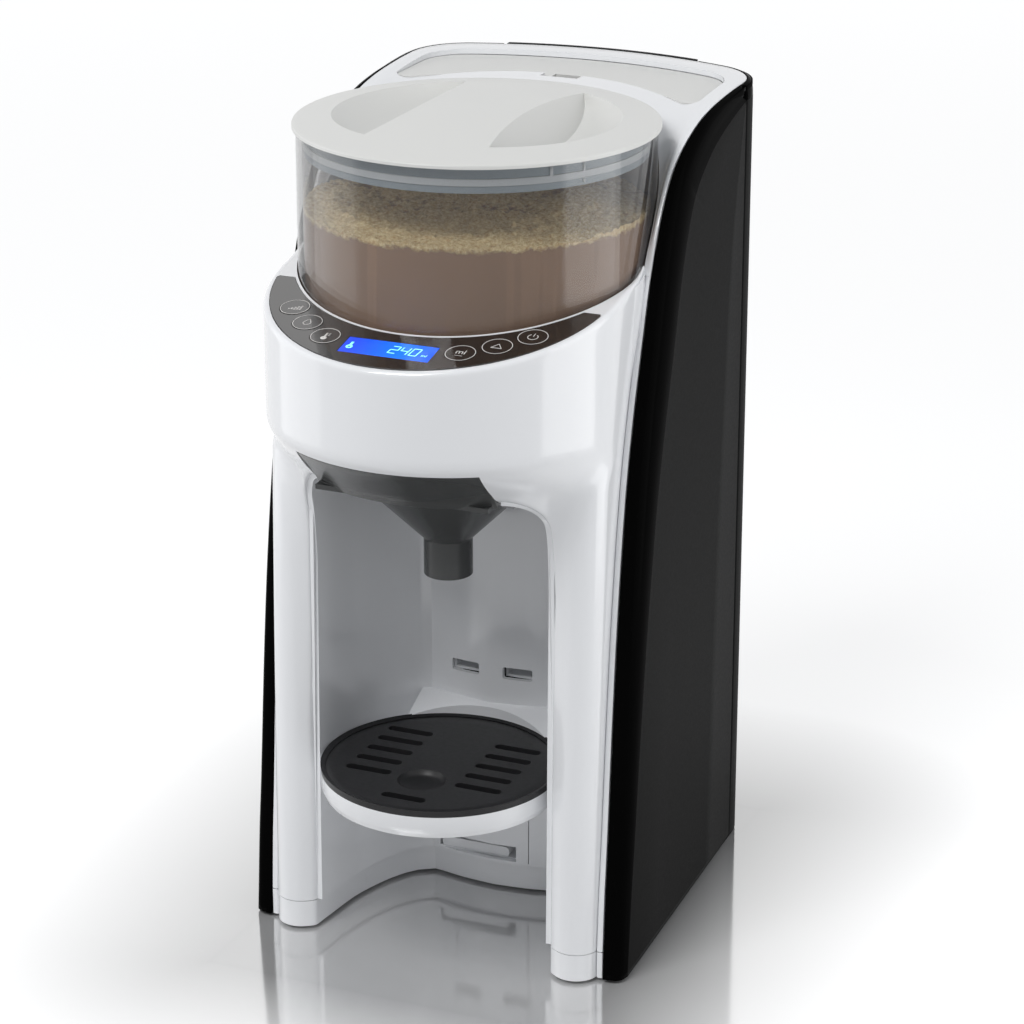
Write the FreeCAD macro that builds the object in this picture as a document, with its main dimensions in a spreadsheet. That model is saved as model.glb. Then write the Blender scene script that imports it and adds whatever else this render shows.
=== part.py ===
import FreeCAD, Part
import math
import os
import Sketcher
from types import SimpleNamespace
from FreeCAD import Placement, Rotation, Vector

# Baby formula maker, millimetres, +Z up, the front looks along -Y.
# The frame's origin is on the floor, in the middle of the outside width and depth.
# Sub-parts are drawn about the powder container's upright axis, and moved into the frame together.

SIZES = [
    # powder container and the shells around it
    ("container_radius", 75.5, "outside of the clear powder container"),
    ("container_wall", 2.5, "its wall and its floor"),
    ("container_gap", 0.5, "all round between the container and its well"),
    ("well_wall", 2.4, "wall of the container well"),
    ("shoulder_wall", 0.9, "front shell beyond the container at its widest"),
    ("flank_step", 2.8, "side flange of the front shell beyond its front part"),
    ("shell_wall", 2.6, "wall of the moulded shells"),
    ("joint_gap", 0.3, "joint line between two pieces"),
    ("side_bulge", 9.0, "a side panel stands out this far from the flange"),
    ("side_taper", 8.3, "each side panel narrows by this much to the rear"),
    # places along Y, from the container axis
    ("nose_offset", 30.5, "centre of the half-round front, ahead of the axis"),
    ("flank_front", 50.8, "front of the side panels at the floor, ahead of the axis"),
    ("rear_reach", 148.0, "back of the rear cover, behind the axis"),
    ("rear_bow", 180.0, "radius of the slightly bowed rear"),
    ("corner_radius", 30.0, "rear corners in plan"),
    ("panel_split", 46.0, "joint of side panel and rear cover, off the middle"),
    # heights
    ("deck_top", 361.0, "top of the deck and of the lid's rim"),
    ("floor_gap", 1.5, "shells stand this far off the floor, on the feet"),
    ("base_height", 14.0, "top of the base tray"),
    ("panel_drop", 77.0, "deck to the front end of the sloping control face"),
    ("panel_tilt", 11.4, "slope of the control panel, degrees"),
    ("head_drop", 115.0, "deck to where the head starts to sweep back"),
    ("niche_drop", 139.0, "deck to the ceiling of the bottle niche"),
    # columns and niche
    ("niche_side", 4.1, "niche wall beside the drip tray; the columns fill what is left"),
    ("column_front", 57.9, "front of the columns at the floor, ahead of the axis"),
    ("column_lean", 7.0, "the columns lean back this far up to the head"),
    ("niche_depth", 15.0, "back wall of the niche behind the axis, at its middle"),
    ("niche_corner", 22.0, "rounded top corners of the niche"),
    # powder container
    ("container_height", 105.9, "container, foot to rim"),
    ("seat_gap", 0.2, "under the container and under the lid"),
    ("well_floor", 3.0, "thickness of the well's floor"),
    ("lid_overhang", 1.5, "lid's cap beyond the container"),
    ("lid_rim", 1.7, "thickness of the cap at its rim"),
    ("lid_crown", 6.0, "rise of the cap's dome"),
    ("skirt_depth", 11.0, "lid skirt, down from the cap"),
    ("skirt_wall", 2.2, "wall of the lid skirt"),
    ("skirt_gap", 0.8, "lid skirt to container wall"),
    ("seal_height", 3.0, "sealing ring on the lid skirt"),
    ("tip_margin", 26.0, "ends of a finger scoop in from the cap's edge, along the bar"),
    ("grip_half_width", 27.5, "half of the grip bar at its ends"),
    ("grip_waist", 22.7, "half of the grip bar at its middle"),
    ("scoop_margin", 16.0, "outer edge of a finger scoop in from the cap's edge"),
    ("scoop_depth", 11.0, "depth of a finger scoop beside the bar"),
    ("powder_drop", 34.5, "powder level below the deck"),
    ("powder_clear", 15.8, "underside of the powder above the stirring wheel"),
    ("outlet_offset", 32.0, "powder outlet and funnel ahead of the axis"),
    ("outlet_radius", 8.0, "powder outlet in the container floor"),
    ("wheel_gap", 1.0, "between container floor and wheels"),
    ("dosing_height", 8.0, "thickness of the dosing wheel"),
    ("stirring_height", 3.0, "stirring wheel's spokes"),
    ("pocket_radius", 9.0, "powder pockets of the dosing wheel"),
    ("hub_radius", 10.0, "hub of the two wheels"),
    ("dog_width", 8.0, "square dog on the drive shaft"),
    ("dog_height", 9.0, "square dog above the shaft"),
    ("running_gap", 0.08, "radial clearance of a running fit"),
    # drive
    ("gear_module", 1.25, "module of the gears"),
    ("gear_width", 6.0, "face width of the gears"),
    ("gear_drop", 4.0, "top of the gears below the well floor"),
    ("shaft_radius", 6.0, "drive shaft"),
    ("pin_radius", 2.5, "idler pin and motor shaft"),
    ("bracket_plate", 3.0, "motor bracket"),
    ("bracket_half_width", 28.0, "half of the motor bracket along X"),
    ("post_radius", 3.0, "posts between bracket and well floor"),
    ("motor_radius", 14.0, "gear motor"),
    ("motor_length", 42.0, "gear motor"),
    # controls
    ("panel_margin", 2.4, "white rim outside the control panel"),
    ("panel_ring", 1.5, "white ring between the container and the control panel"),
    ("panel_back", 41.3, "tips of the control panel, ahead of the axis"),
    ("panel_thickness", 2.0, "control panel"),
    ("button_radius", 6.35, "push buttons"),
    ("button_gap", 0.25, "button to panel"),
    ("button_margin", 11.5, "row of buttons in from the control panel's edge"),
    ("button_clear", 10.0, "middles of the innermost buttons beside the display"),
    ("button_pitch", 15.1, "between the buttons along their row"),
    ("button_outset", 1.3, "the outermost buttons stand out from that row"),
    ("button_travel", 0.6, "stroke of a push button"),
    ("button_flange", 0.8, "button's flange beyond its cap"),
    ("button_stem", 2.0, "button's stem, radius"),
    ("switch_height", 2.0, "switches under the buttons"),
    ("switch_radius", 2.5, "switches under the buttons"),
    ("board_thickness", 1.6, "circuit boards"),
    ("board_depth", 8.0, "control board below the panel's face"),
    ("display_length", 39.6, "display along X"),
    ("display_width", 12.2, "display across"),
    ("display_margin", 15.1, "middle of the display in from the control panel's front"),
    # funnel
    ("funnel_drop", 1.0, "funnel flange below the niche ceiling"),
    ("flange_set", 27.5, "front of the funnel flange behind the front of the head"),
    ("flange_thickness", 2.2, "funnel flange"),
    ("flange_half_width", 39.0, "half of the funnel flange"),
    ("cone_radius", 36.0, "outside of the funnel's upright rim"),
    ("rim_depth", 6.0, "funnel's upright rim below its flange"),
    ("cone_height", 25.4, "funnel's cone"),
    ("spout_radius", 10.5, "outside of the funnel's spout"),
    ("spout_length", 16.5, "spout below the cone"),
    ("slot_half_width", 35.0, "half of the ceiling's slot over the funnel"),
    ("funnel_wall", 1.8, "funnel wall"),
    ("plate_half_width", 40.5, "half of the funnel's front plate"),
    ("rail_gap", 0.4, "round the funnel flange in its rails"),
    # drip tray
    ("tray_radius", 51.8, "outside of the drip tray"),
    ("tray_wall", 1.7, "wall of the drip tray"),
    ("tray_back", 4.7, "drip tray ahead of the niche's back wall"),
    ("tray_top", 86.0, "top of the drip grid above the floor"),
    ("tray_depth", 13.6, "drip tray, top to bottom"),
    ("grid_thickness", 2.4, "drip grid"),
    ("slot_length", 21.4, "drip slots"),
    ("slot_width", 4.6, "drip slots"),
    ("slot_pitch", 10.85, "rows of drip slots"),
    ("slot_inset", 15.0, "inner ends of the drip slots off the middle"),
    ("slot_first", 18.5, "foremost row of the paired slots, ahead of the tray's middle"),
    ("front_slot", 38.7, "the single front slot, ahead of the tray's middle"),
    ("hook_half_width", 6.5, "half of a tray hook"),
    ("hook_offset", 12.5, "tray hooks off the middle"),
    ("hook_height", 5.0, "tray hooks"),
    ("hook_pitch", 26.0, "between the levels of hook slots"),
    ("recess_length", 39.0, "finger recess at the foot of the niche's back wall"),
    ("recess_height", 7.4, "finger recess"),
    ("recess_offset", 7.5, "middle of the finger recess to the left of the machine's"),
    ("recess_rise", 1.4, "finger recess above the base tray"),
    # water side
    ("tank_clear", 20.5, "front arc of the tank lid behind the container"),
    ("tank_side", 8.2, "tank lid in from the side flange"),
    ("tank_rear_gap", 15.5, "back of the tank lid ahead of the rear cover's back"),
    ("tank_margin", 1.6, "tank inside its lid's outline"),
    ("tank_wall", 2.0, "tank wall"),
    ("tank_corner", 22.0, "rear corners of the tank lid"),
    ("tank_foot", 119.8, "underside of the tank above the floor"),
    ("tank_lid_thickness", 2.5, "tank lid"),
    ("tank_lid_drop", 2.6, "tank lid's top below the deck"),
    ("valve_inset", 36.0, "tank outlet ahead of the rear cover's back"),
    ("valve_radius", 5.6, "body of the tank valve"),
    ("deck_gap", 0.6, "round the tank lid"),
    ("pipe_radius", 3.5, "water pipes"),
    ("heater_radius", 17.0, "water heater"),
    ("heater_height", 120.0, "water heater"),
    ("pump_radius", 16.0, "water pump"),
    ("pump_length", 46.0, "water pump"),
    ("neck_height", 14.0, "neck on the pump, and socket under the tank's shelf"),
    ("foot_radius", 6.0, "rubber feet"),
    ("foot_side", 21.2, "rear feet in from the side flange"),
    ("foot_inset", 36.0, "rear feet ahead of the rear cover's back"),
    # back
    ("vent_drop", 161.0, "lowest vent slot of the rear cover below the deck"),
    ("vent_pitch", 9.0, "rows of vent slots"),
    ("vent_height", 3.6, "vent slots"),
    ("vent_half_length", 30.0, "half of a vent slot"),
    ("inlet_offset", 24.0, "power inlet off the middle"),
    ("inlet_height", 34.0, "power inlet's middle above the floor"),
    ("inlet_length", 28.0, "power inlet along X"),
    ("inlet_width", 20.0, "power inlet along Z"),
    ("inlet_depth", 24.0, "power inlet along Y"),
    ("screw_radius", 3.2, "heads of the rear screws"),
    ("screw_side", 8.0, "rear screws in from the rear cover's joint"),
    ("screw_low", 26.0, "lowest rear screw above the floor"),
    ("screw_drop", 43.0, "upper rear screws below the deck"),
    ("screw_middle", 211.0, "middle rear screws below the deck"),
    # what stands on the base's floor
    ("board_side", 17.2, "main board in from the side flange"),
    ("transformer_side", 19.5, "transformer's middle beside the main board"),
    ("pump_side", 32.5, "pump's middle beside the transformer's"),
    ("heater_side", 29.2, "heater's middle in from the side flange"),
    ("board_back", 55.0, "main board and transformer behind the niche's back wall"),
    ("pump_back", 51.0, "pump's middle behind the niche's back wall"),
    ("heater_back", 39.0, "heater's middle behind the niche's back wall"),
]

doc = FreeCAD.newDocument("formula_maker")
sheet = doc.addObject("Spreadsheet::Sheet", "sizes")
for row, (alias, number, note) in enumerate(SIZES, start=1):
    sheet.set(f"A{row}", note)
    sheet.set(f"B{row}", str(number))
    sheet.setAlias(f"B{row}", alias)
doc.recompute()


class Term:
    """A number together with the formula, in the sheet's aliases, that it comes from."""

    def __init__(self, number, text):
        self.number = float(number)
        self.text = text

    def __float__(self):
        return self.number

    def __add__(self, other):
        other = term(other)
        return Term(self.number + other.number, f"({self.text} + {other.text})")

    def __sub__(self, other):
        other = term(other)
        return Term(self.number - other.number, f"({self.text} - {other.text})")

    def __mul__(self, other):
        other = term(other)
        return Term(self.number * other.number, f"({self.text} * {other.text})")

    def __truediv__(self, other):
        other = term(other)
        return Term(self.number / other.number, f"({self.text} / {other.text})")

    def __radd__(self, other):
        return term(other) + self

    def __rsub__(self, other):
        return term(other) - self

    def __rmul__(self, other):
        return term(other) * self

    def __neg__(self):
        return Term(-self.number, f"(0 - {self.text})")


def term(item):
    return item if isinstance(item, Term) else Term(item, f"{float(item):.6g}")


d = SimpleNamespace(**{alias: Term(sheet.get(alias), f"sizes.{alias}") for alias, number, note in SIZES})
nodes = []

# ---------------------------------------------------------------- document helpers


def bind(obj, prop, item):
    obj.setExpression(prop, term(item).text)


def place(obj, at, turn=None):
    """Places an object at three bound coordinates, turned by a rotation first."""
    obj.Placement = Placement(Vector(*[float(term(c)) for c in at]), turn or Rotation())
    for axis, item in zip("xyz", at):
        bind(obj, f"Placement.Base.{axis}", item)
    return obj


def cylinder(name, radius, height, at=(0, 0, 0), turn=None):
    obj = doc.addObject("Part::Cylinder", name)
    bind(obj, "Radius", radius)
    bind(obj, "Height", height)
    return place(obj, at, turn)


def box(name, length, width, height, at=(0, 0, 0), turn=None):
    """A box centred in X and Y on its place, standing on it."""
    obj = doc.addObject("Part::Box", name)
    bind(obj, "Length", length)
    bind(obj, "Width", width)
    bind(obj, "Height", height)
    corner = (at[0] - term(length) / 2, at[1] - term(width) / 2, at[2])
    return place(obj, corner, turn)


def fuse(name, *shapes):
    obj = doc.addObject("Part::MultiFuse", name)
    obj.Shapes = list(shapes)
    return obj


def common(name, *shapes):
    obj = doc.addObject("Part::MultiCommon", name)
    obj.Shapes = list(shapes)
    return obj


def cut(name, base, *tools):
    obj = doc.addObject("Part::Cut", name)
    obj.Base = base
    obj.Tool = tools[0] if len(tools) == 1 else fuse(f"{name}_tools", *tools)
    return obj


def feature(name, shape):
    obj = doc.addObject("Part::Feature", name)
    obj.Shape = shape
    return obj


def sketch_on(body, role, name, loops):
    """A sketch of closed straight-sided loops, each corner bound to the sheet."""
    sketch = body.newObject("Sketcher::SketchObject", name)
    plane = next(f for f in body.Origin.OriginFeatures if f.Role == role)
    sketch.AttachmentSupport = [(plane, "")]
    sketch.MapMode = "FlatFace"
    for loop in loops:
        corners = [(term(u), term(v)) for u, v in loop]
        first = sketch.GeometryCount
        for here, there in zip(corners, corners[1:] + corners[:1]):
            a = Vector(float(here[0]), float(here[1]), 0)
            b = Vector(float(there[0]), float(there[1]), 0)
            sketch.addGeometry(Part.LineSegment(a, b), False)
        count = len(corners)
        for i, (u, v) in enumerate(corners):
            sketch.addConstraint(Sketcher.Constraint("Coincident", first + i, 2, first + (i + 1) % count, 1))
            for kind, item in (("DistanceX", u), ("DistanceY", v)):
                at = sketch.addConstraint(Sketcher.Constraint(kind, -1, 1, first + i, 1, float(item)))
                sketch.setExpression(f"Constraints[{at}]", item.text)
    return sketch


def turned(name, profile, at=(0, 0, 0)):
    """A body of revolution: a closed profile of (radius, height) corners turned about +Z."""
    body = doc.addObject("PartDesign::Body", name)
    sketch = sketch_on(body, "XZ_Plane", f"{name}_profile", [profile])
    turn = body.newObject("PartDesign::Revolution", f"{name}_turn")
    turn.Profile = sketch
    turn.ReferenceAxis = (sketch, ["V_Axis"])
    turn.Angle = 360
    sketch.Visibility = False
    return place(body, at)


def padded(name, loops, height, at=(0, 0, 0)):
    """A plate: closed loops of (x, y) corners, the inner ones as holes, padded upwards."""
    body = doc.addObject("PartDesign::Body", name)
    sketch = sketch_on(body, "XY_Plane", f"{name}_outline", loops)
    pad = body.newObject("PartDesign::Pad", f"{name}_pad")
    pad.Profile = sketch
    bind(pad, "Length", height)
    return place(body, at)


def tube(name, outer, inner, height, at=(0, 0, 0)):
    height = term(height)
    return turned(name, [(inner, 0), (outer, 0), (outer, height), (inner, height)], at)


def rectangle(x, y, length, width):
    half_x = term(length) / 2
    half_y = term(width) / 2
    front, back = y - half_y, y + half_y
    return [(x - half_x, front), (x + half_x, front), (x + half_x, back), (x - half_x, back)]


container_y = (d.container_radius + d.shoulder_wall + d.nose_offset - d.rear_reach) / 2


def sub_part(label, obj):
    """Names a finished sub-part and moves it from the container axis into the frame."""
    obj.Label = label
    bound = [text for path, text in obj.ExpressionEngine if path.endswith("Placement.Base.y")]
    start = bound[0] if bound else f"{obj.Placement.Base.y:.6f}"
    obj.setExpression("Placement.Base.y", f"{container_y.text} + {start}")
    nodes.append(obj)
    return obj


# ---------------------------------------------------------------- shared places

front_half = d.container_radius + d.shoulder_wall
flank_half = front_half + d.flank_step
side_half = flank_half + d.joint_gap + d.side_bulge
container_rim = d.deck_top - d.lid_rim - d.seat_gap
container_foot = container_rim - d.container_height
well_top = container_foot - d.seat_gap
well_low = well_top - d.well_floor
well_radius = d.container_radius + d.container_gap
head_z = d.deck_top - d.head_drop
ceiling_z = d.deck_top - d.niche_drop
tray_low = d.tray_top - d.tray_depth
niche_half = d.tray_radius + d.niche_side
column_outside = front_half + 0.5
column_radius = (column_outside - niche_half) / 2
column_x = column_outside - column_radius
column_y = column_radius - d.column_front
panel_radius = front_half - d.panel_margin
tray_offset = d.tray_radius + d.tray_back - d.niche_depth
lid_radius = d.container_radius + d.lid_overhang
tank_inner = d.container_radius + d.tank_clear
tank_half = flank_half - d.tank_side
panel_slope = math.tan(math.radians(float(d.panel_tilt)))
wall = float(d.shell_wall)
gap = float(d.joint_gap)
deck = float(d.deck_top)
nose = -float(d.nose_offset)
rear = float(d.rear_reach)
FAR = 400

# ---------------------------------------------------------------- shapes of the shells


def block(x0, x1, y0, y1, z0, z1):
    return Part.makeBox(x1 - x0, y1 - y0, z1 - z0, Vector(x0, y0, z0))


def round_block(radius, x, y, low, high):
    return Part.makeCylinder(radius, high - low, Vector(x, y, low))


def line(a, b):
    return Part.LineSegment(Vector(*a), Vector(*b)).toShape()


def arc(a, mid, b):
    return Part.Arc(Vector(*a), Vector(*mid), Vector(*b)).toShape()


def across(edges, half=FAR):
    """A solid right across the width over a closed outline in the YZ plane."""
    face = Part.Face(Part.Wire(edges))
    solid = face.extrude(Vector(2 * half, 0, 0))
    return solid.translated(Vector(-half, 0, 0))


def upright(edges, low, high):
    """An upright solid over a closed outline in plan."""
    face = Part.Face(Part.Wire(edges))
    return face.extrude(Vector(0, 0, high - low)).translated(Vector(0, 0, low))


def upright_edges(solid):
    return [e for e in solid.Edges if abs(e.tangentAt(e.FirstParameter).z) > 0.9]


def back_plan(inset, half, low, high):
    """The outside of the rear in plan: tapered sides, round corners and a slightly bowed back."""
    shoulder = -float(d.flank_front) + 11
    slope = float(d.side_taper) / (rear - shoulder)
    back = rear + 20
    outer = float(side_half) - inset
    corners = [(outer, shoulder - 40), (outer, shoulder), (outer - slope * (back - shoulder), back)]
    corners += [(-x, y) for x, y in corners[::-1]]
    ring = [line((*a, 0), (*b, 0)) for a, b in zip(corners, corners[1:] + corners[:1])]
    bow = float(d.rear_bow) - inset
    solid = upright(ring, low, high).common(round_block(bow, 0, rear - inset - bow, low, high))
    corner_edges = [e for e in upright_edges(solid) if e.CenterOfMass.y > 60]
    solid = solid.makeFillet(float(d.corner_radius) - inset, corner_edges)
    return solid.common(block(-half, half, -FAR, FAR, low, high))


# The S-shaped joint of side panel and front shell in side view: low down as (behind the axis, share of
# the way up to the control face), higher up as (behind the axis, below the deck).
FLANK_LOW = [(0.0, 0.0), (4.8, 0.215), (9.4, 0.42), (13.6, 0.565), (21.4, 0.755), (29.2, 0.87)]
FLANK_LOW += [(38.4, 0.975)]
FLANK_HIGH = [(46.4, 60.0), (57.0, 38.0), (70.0, 20.5), (87.5, 10.0), (110.0, 3.6), (130.0, 1.2)]
FLANK_HIGH += [(148.0, 0.0)]


def behind_flank(shift):
    """Everything behind and below the S-shaped joint moved back and down by shift."""
    start = -float(d.flank_front) + shift
    face_z = deck - float(d.panel_drop)
    points = [Vector(0, start + y, share * face_z) for y, share in FLANK_LOW]
    points += [Vector(0, start + y, deck - drop - shift) for y, drop in FLANK_HIGH]
    curve = Part.BSplineCurve()
    curve.interpolate(points)
    end = points[-1]
    edges = [
        curve.toShape(),
        line((0, end.y, end.z), (0, FAR, end.z)),
        line((0, FAR, end.z), (0, FAR, -50)),
        line((0, FAR, -50), (0, start, -50)),
        line((0, start, -50), (0, start, 0)),
    ]
    return across(edges)


def panel_z(y):
    """Height of the sloping control face at a place along Y."""
    front = nose - float(panel_radius)
    return deck - float(d.panel_drop) + (y - front) * panel_slope


# The white top beside and behind the container, as (behind the axis, below the deck).
TOP_RISE = [(-3.0, 54.0), (5.0, 43.0), (15.0, 28.5), (26.0, 17.5), (42.0, 9.0), (62.0, 3.4), (88.0, 0.6)]
TOP_RISE += [(110.0, 0.0)]


def below_top(drop):
    """Everything below the top of the front shell, lowered by drop."""
    rise = -16.0
    front = -FAR
    points = [Vector(0, rise, panel_z(rise) - drop)]
    points += [Vector(0, y, deck - below - drop) for y, below in TOP_RISE]
    curve = Part.BSplineCurve()
    along_panel = Vector(0, 30, 30 * panel_slope)
    curve.interpolate(Points=points, InitialTangent=along_panel, FinalTangent=Vector(0, 30, 0))
    edges = [
        line((0, front, -60), (0, front, panel_z(front) - drop)),
        line((0, front, panel_z(front) - drop), tuple(points[0])),
        curve.toShape(),
        line(tuple(points[-1]), (0, FAR, deck - drop)),
        line((0, FAR, deck - drop), (0, FAR, -60)),
        line((0, FAR, -60), (0, front, -60)),
    ]
    return across(edges)


def d_section(half, y, z, back):
    """A half-round front with straight sides, closed at a line behind it, as a wire at height z."""
    edges = [
        arc((-half, y, z), (0, y - half, z), (half, y, z)),
        line((half, y, z), (half, back, z)),
        line((half, back, z), (-half, back, z)),
        line((-half, back, z), (-half, y, z)),
    ]
    return Part.Wire(edges)


# The front of the head below head_z, as (drop, step back).
SWEEP = [(0.0, 0.0), (4.0, 0.9), (9.0, 5.0), (16.0, 12.6), (25.0, 21.5), (33.0, 26.5), (42.0, 30.0)]
SWEEP += [(56.0, 32.5)]


def head_shape(inset):
    """The head: an upright half-round front, swept back below, with the columns' upper ends inside it."""
    half = float(front_half) - inset
    low = float(head_z)
    upper = Part.Face(d_section(half, nose, low, 20)).extrude(Vector(0, 0, deck + 20 - low))
    sections = [d_section(half, nose + step, low - drop, 20) for drop, step in SWEEP]
    return upper.fuse(Part.makeLoft(sections, True, False))


def column_shape(side, inset, low):
    """A column with a round front that leans back up to the head; side is -1 or 1."""
    radius = float(column_radius) - inset
    base = float(d.base_height)
    top = float(head_z)
    sections = []
    for z in (low, top):
        y = float(column_y) + float(d.column_lean) * (z - base) / (top - base)
        x = side * float(column_x)
        edges = [
            arc((x - radius, y, z), (x, y - radius, z), (x + radius, y, z)),
            line((x + radius, y, z), (x + radius, 0, z)),
            line((x + radius, 0, z), (x - radius, 0, z)),
            line((x - radius, 0, z), (x - radius, y, z)),
        ]
        sections.append(Part.Wire(edges))
    return Part.makeLoft(sections, True, True)


def niche(grow, low, top):
    """The bottle niche: curved side walls, a back wall bowed forwards and round top corners."""
    front_x = float(niche_half) + grow
    start_y = float(column_y) - 8
    depth = float(d.niche_depth) + grow
    side = [(front_x, start_y, low), (front_x - 4.0, depth - 36.0, low), (front_x - 19.0, depth + 1.2, low)]
    corner = [side[-1], (front_x - 22.8, depth + 4.1, low), (front_x - 27.5, depth + 4.3, low)]
    left_side = [(-x, y, z) for x, y, z in side[::-1]]
    left_corner = [(-x, y, z) for x, y, z in corner[::-1]]
    edges = [
        line((front_x, -FAR, low), side[0]),
        arc(*side),
        arc(*corner),
        arc(corner[-1], (0, depth, low), left_corner[0]),
        arc(*left_corner),
        arc(*left_side),
        line(left_side[-1], (-front_x, -FAR, low)),
        line((-front_x, -FAR, low), (front_x, -FAR, low)),
    ]
    plan = Part.Face(Part.Wire(edges)).extrude(Vector(0, 0, top - low))
    tunnel = block(-front_x, front_x, -FAR, FAR, low, top)
    lengthways = [e for e in tunnel.Edges if abs(e.tangentAt(e.FirstParameter).y) > 0.9]
    tops = [e for e in lengthways if e.CenterOfMass.z > top - 1]
    return plan.common(tunnel.makeFillet(float(d.niche_corner) + grow, tops))


def white_plan(inset, low, high):
    """The wide rear part of the front shell in plan; inset makes it smaller."""
    return back_plan(wall + gap + inset, float(flank_half) - inset, low, high)


def housing_body(inset, low):
    """The front shell without its niche as a closed solid; inset makes the hollow inside it."""
    body = white_plan(inset, low, deck + 20).common(behind_flank(inset))
    body = body.fuse(head_shape(inset).cut(block(-FAR, FAR, 0, FAR, 0, float(ceiling_z) - 20)))
    for side in (-1, 1):
        body = body.fuse(column_shape(side, inset, low))
    return body.common(below_top(inset))


# ---------------------------------------------------------------- front housing

base_top = float(d.base_height)
ceiling = float(ceiling_z)
whole = housing_body(0, base_top)
outer_shell = whole.cut(niche(0, base_top - 5, ceiling))
hollow = housing_body(wall, base_top - 2).cut(niche(wall, base_top - 10, ceiling + wall))
housing = outer_shell.cut(hollow)
# The niche's walls and ceiling are a lining of their own, held inside the rim of the front shell.
LINER_FIT = 0.1
liner_room = niche(wall, base_top - 10, ceiling + wall).common(housing_body(wall, base_top - 2))
liner = niche(wall, base_top, ceiling + wall).cut(niche(0, base_top - 5, ceiling))
liner = liner.common(housing_body(wall + LINER_FIT, base_top))
housing = housing.cut(liner_room)
housing = housing.cut(block(-FAR, FAR, 60, FAR, 0, deck - 26))

# The well that the container stands in.
well_r = float(well_radius)
WELL_SKIN = 0.6
well_tube = round_block(well_r + float(d.well_wall), 0, 0, float(well_low), deck + 10)
housing = housing.fuse(well_tube.common(outer_shell))
housing = housing.cut(round_block(well_r, 0, 0, float(well_low) - 1, deck + 30))


def panel_slab(low, high):
    """A slab parallel to the control panel, between two depths below its face."""
    front = nose - float(panel_radius) - 8
    back = 0
    steepness = math.cos(math.radians(float(d.panel_tilt)))
    low, high = low / steepness, high / steepness
    edges = [
        line((0, front, panel_z(front) - low), (0, back, panel_z(back) - low)),
        line((0, back, panel_z(back) - low), (0, back, panel_z(back) - high)),
        line((0, back, panel_z(back) - high), (0, front, panel_z(front) - high)),
        line((0, front, panel_z(front) - high), (0, front, panel_z(front) - low)),
    ]
    return across(edges)


def crescent(outer_less, inner_more, back_less):
    """An upright solid over the control panel's outline, made smaller by three margins."""
    disc = round_block(float(panel_radius) - outer_less, 0, nose, 100, deck + 40)
    hole = round_block(float(d.container_radius + d.panel_ring) + inner_more, 0, 0, 90, deck + 50)
    back = -float(d.panel_back) - back_less
    return disc.cut(hole).common(block(-FAR, FAR, -FAR, back, 0, deck + 60))


slope_turn = Rotation(Vector(1, 0, 0), float(d.panel_tilt))
normal = slope_turn.multVec(Vector(0, 0, 1))


def on_panel(x, y, depth):
    """A place on the control panel's face, sunk by a depth along its normal."""
    return Vector(x, y, panel_z(y)) - normal * depth


def button_stub(x, y, radius, top, bottom):
    """A round stub square to the control panel, between two depths below its face."""
    return Part.makeCylinder(radius, bottom - top, on_panel(x, y, bottom), normal)


# Three buttons each side of the display, on one arc about the nose centre, as (side, place from it).
BUTTON_PLACES = {
    "button_level": (-1, 2),
    "button_night": (-1, 1),
    "button_warmth": (-1, 0),
    "button_volume": (1, 0),
    "button_start": (1, 1),
    "button_power": (1, 2),
}
OUTERMOST = 2
button_row = float(panel_radius - d.button_margin)
first_angle = math.asin(float(d.display_length / 2 + d.button_clear) / button_row)
buttons = {}
for name, (side, count) in BUTTON_PLACES.items():
    reach = button_row + (float(d.button_outset) if count == OUTERMOST else 0)
    angle = side * (first_angle + count * float(d.button_pitch) / button_row)
    buttons[name] = (reach * math.sin(angle), nose - reach * math.cos(angle))
button_r = float(d.button_radius)
flange_r = button_r + float(d.button_flange)
board_top = float(d.board_depth)

thick = float(d.panel_thickness)
housing = housing.cut(crescent(0, 0, 0).common(panel_slab(-10, thick)))
housing = housing.cut(crescent(4, 3.6, 7).common(panel_slab(-10, board_top + 4)))
well_skin = round_block(well_r + WELL_SKIN, 0, 0, 0, deck)
for x, y in buttons.values():
    housing = housing.cut(button_stub(x, y, flange_r + 0.3, -1, board_top).cut(well_skin))

# The funnel's slot in the ceiling and the gap for its front plate in the swept face.
plate_half = float(d.plate_half_width)
plate_high = float(head_z) - 7.0
slot_half = float(d.slot_half_width)
slot_back = float(d.slot_half_width - d.outlet_offset) + 2
flange_front = nose - float(front_half - d.flange_set)
PLATE_SLOT_DEPTH = 24.4
ceiling_slot = block(-slot_half, slot_half, -FAR, slot_back, ceiling - 1, ceiling + wall + 1)
slot_end = flange_front + PLATE_SLOT_DEPTH
plate_slot = block(-plate_half - gap, plate_half + gap, -FAR, slot_end, ceiling - 30, plate_high + gap)
housing = housing.cut(ceiling_slot).cut(plate_slot)
liner = liner.cut(ceiling_slot).cut(plate_slot)

# Three levels of hook slots in the niche's back wall.
hook_z = float(d.tray_top) - 7
for level in (-1, 0, 1):
    for side in (-1, 1):
        x = side * float(d.hook_offset)
        half = float(d.hook_half_width) + 0.5
        z = hook_z + level * float(d.hook_pitch)
        liner = liner.cut(block(x - half, x + half, 5, 40, z - 0.5, z + float(d.hook_height) + 0.5))

# The low finger recess, a slot with round ends.
recess_half = float(d.recess_length) / 2
recess_x = -float(d.recess_offset)
recess_z = base_top + float(d.recess_rise)
recess = block(recess_x - recess_half, recess_x + recess_half, 5, 40, recess_z, recess_z + d.recess_height)
ends = [e for e in recess.Edges if e.BoundBox.YLength > 1]
liner = liner.cut(recess.makeFillet(float(d.recess_height) * 0.45, ends))


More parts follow.
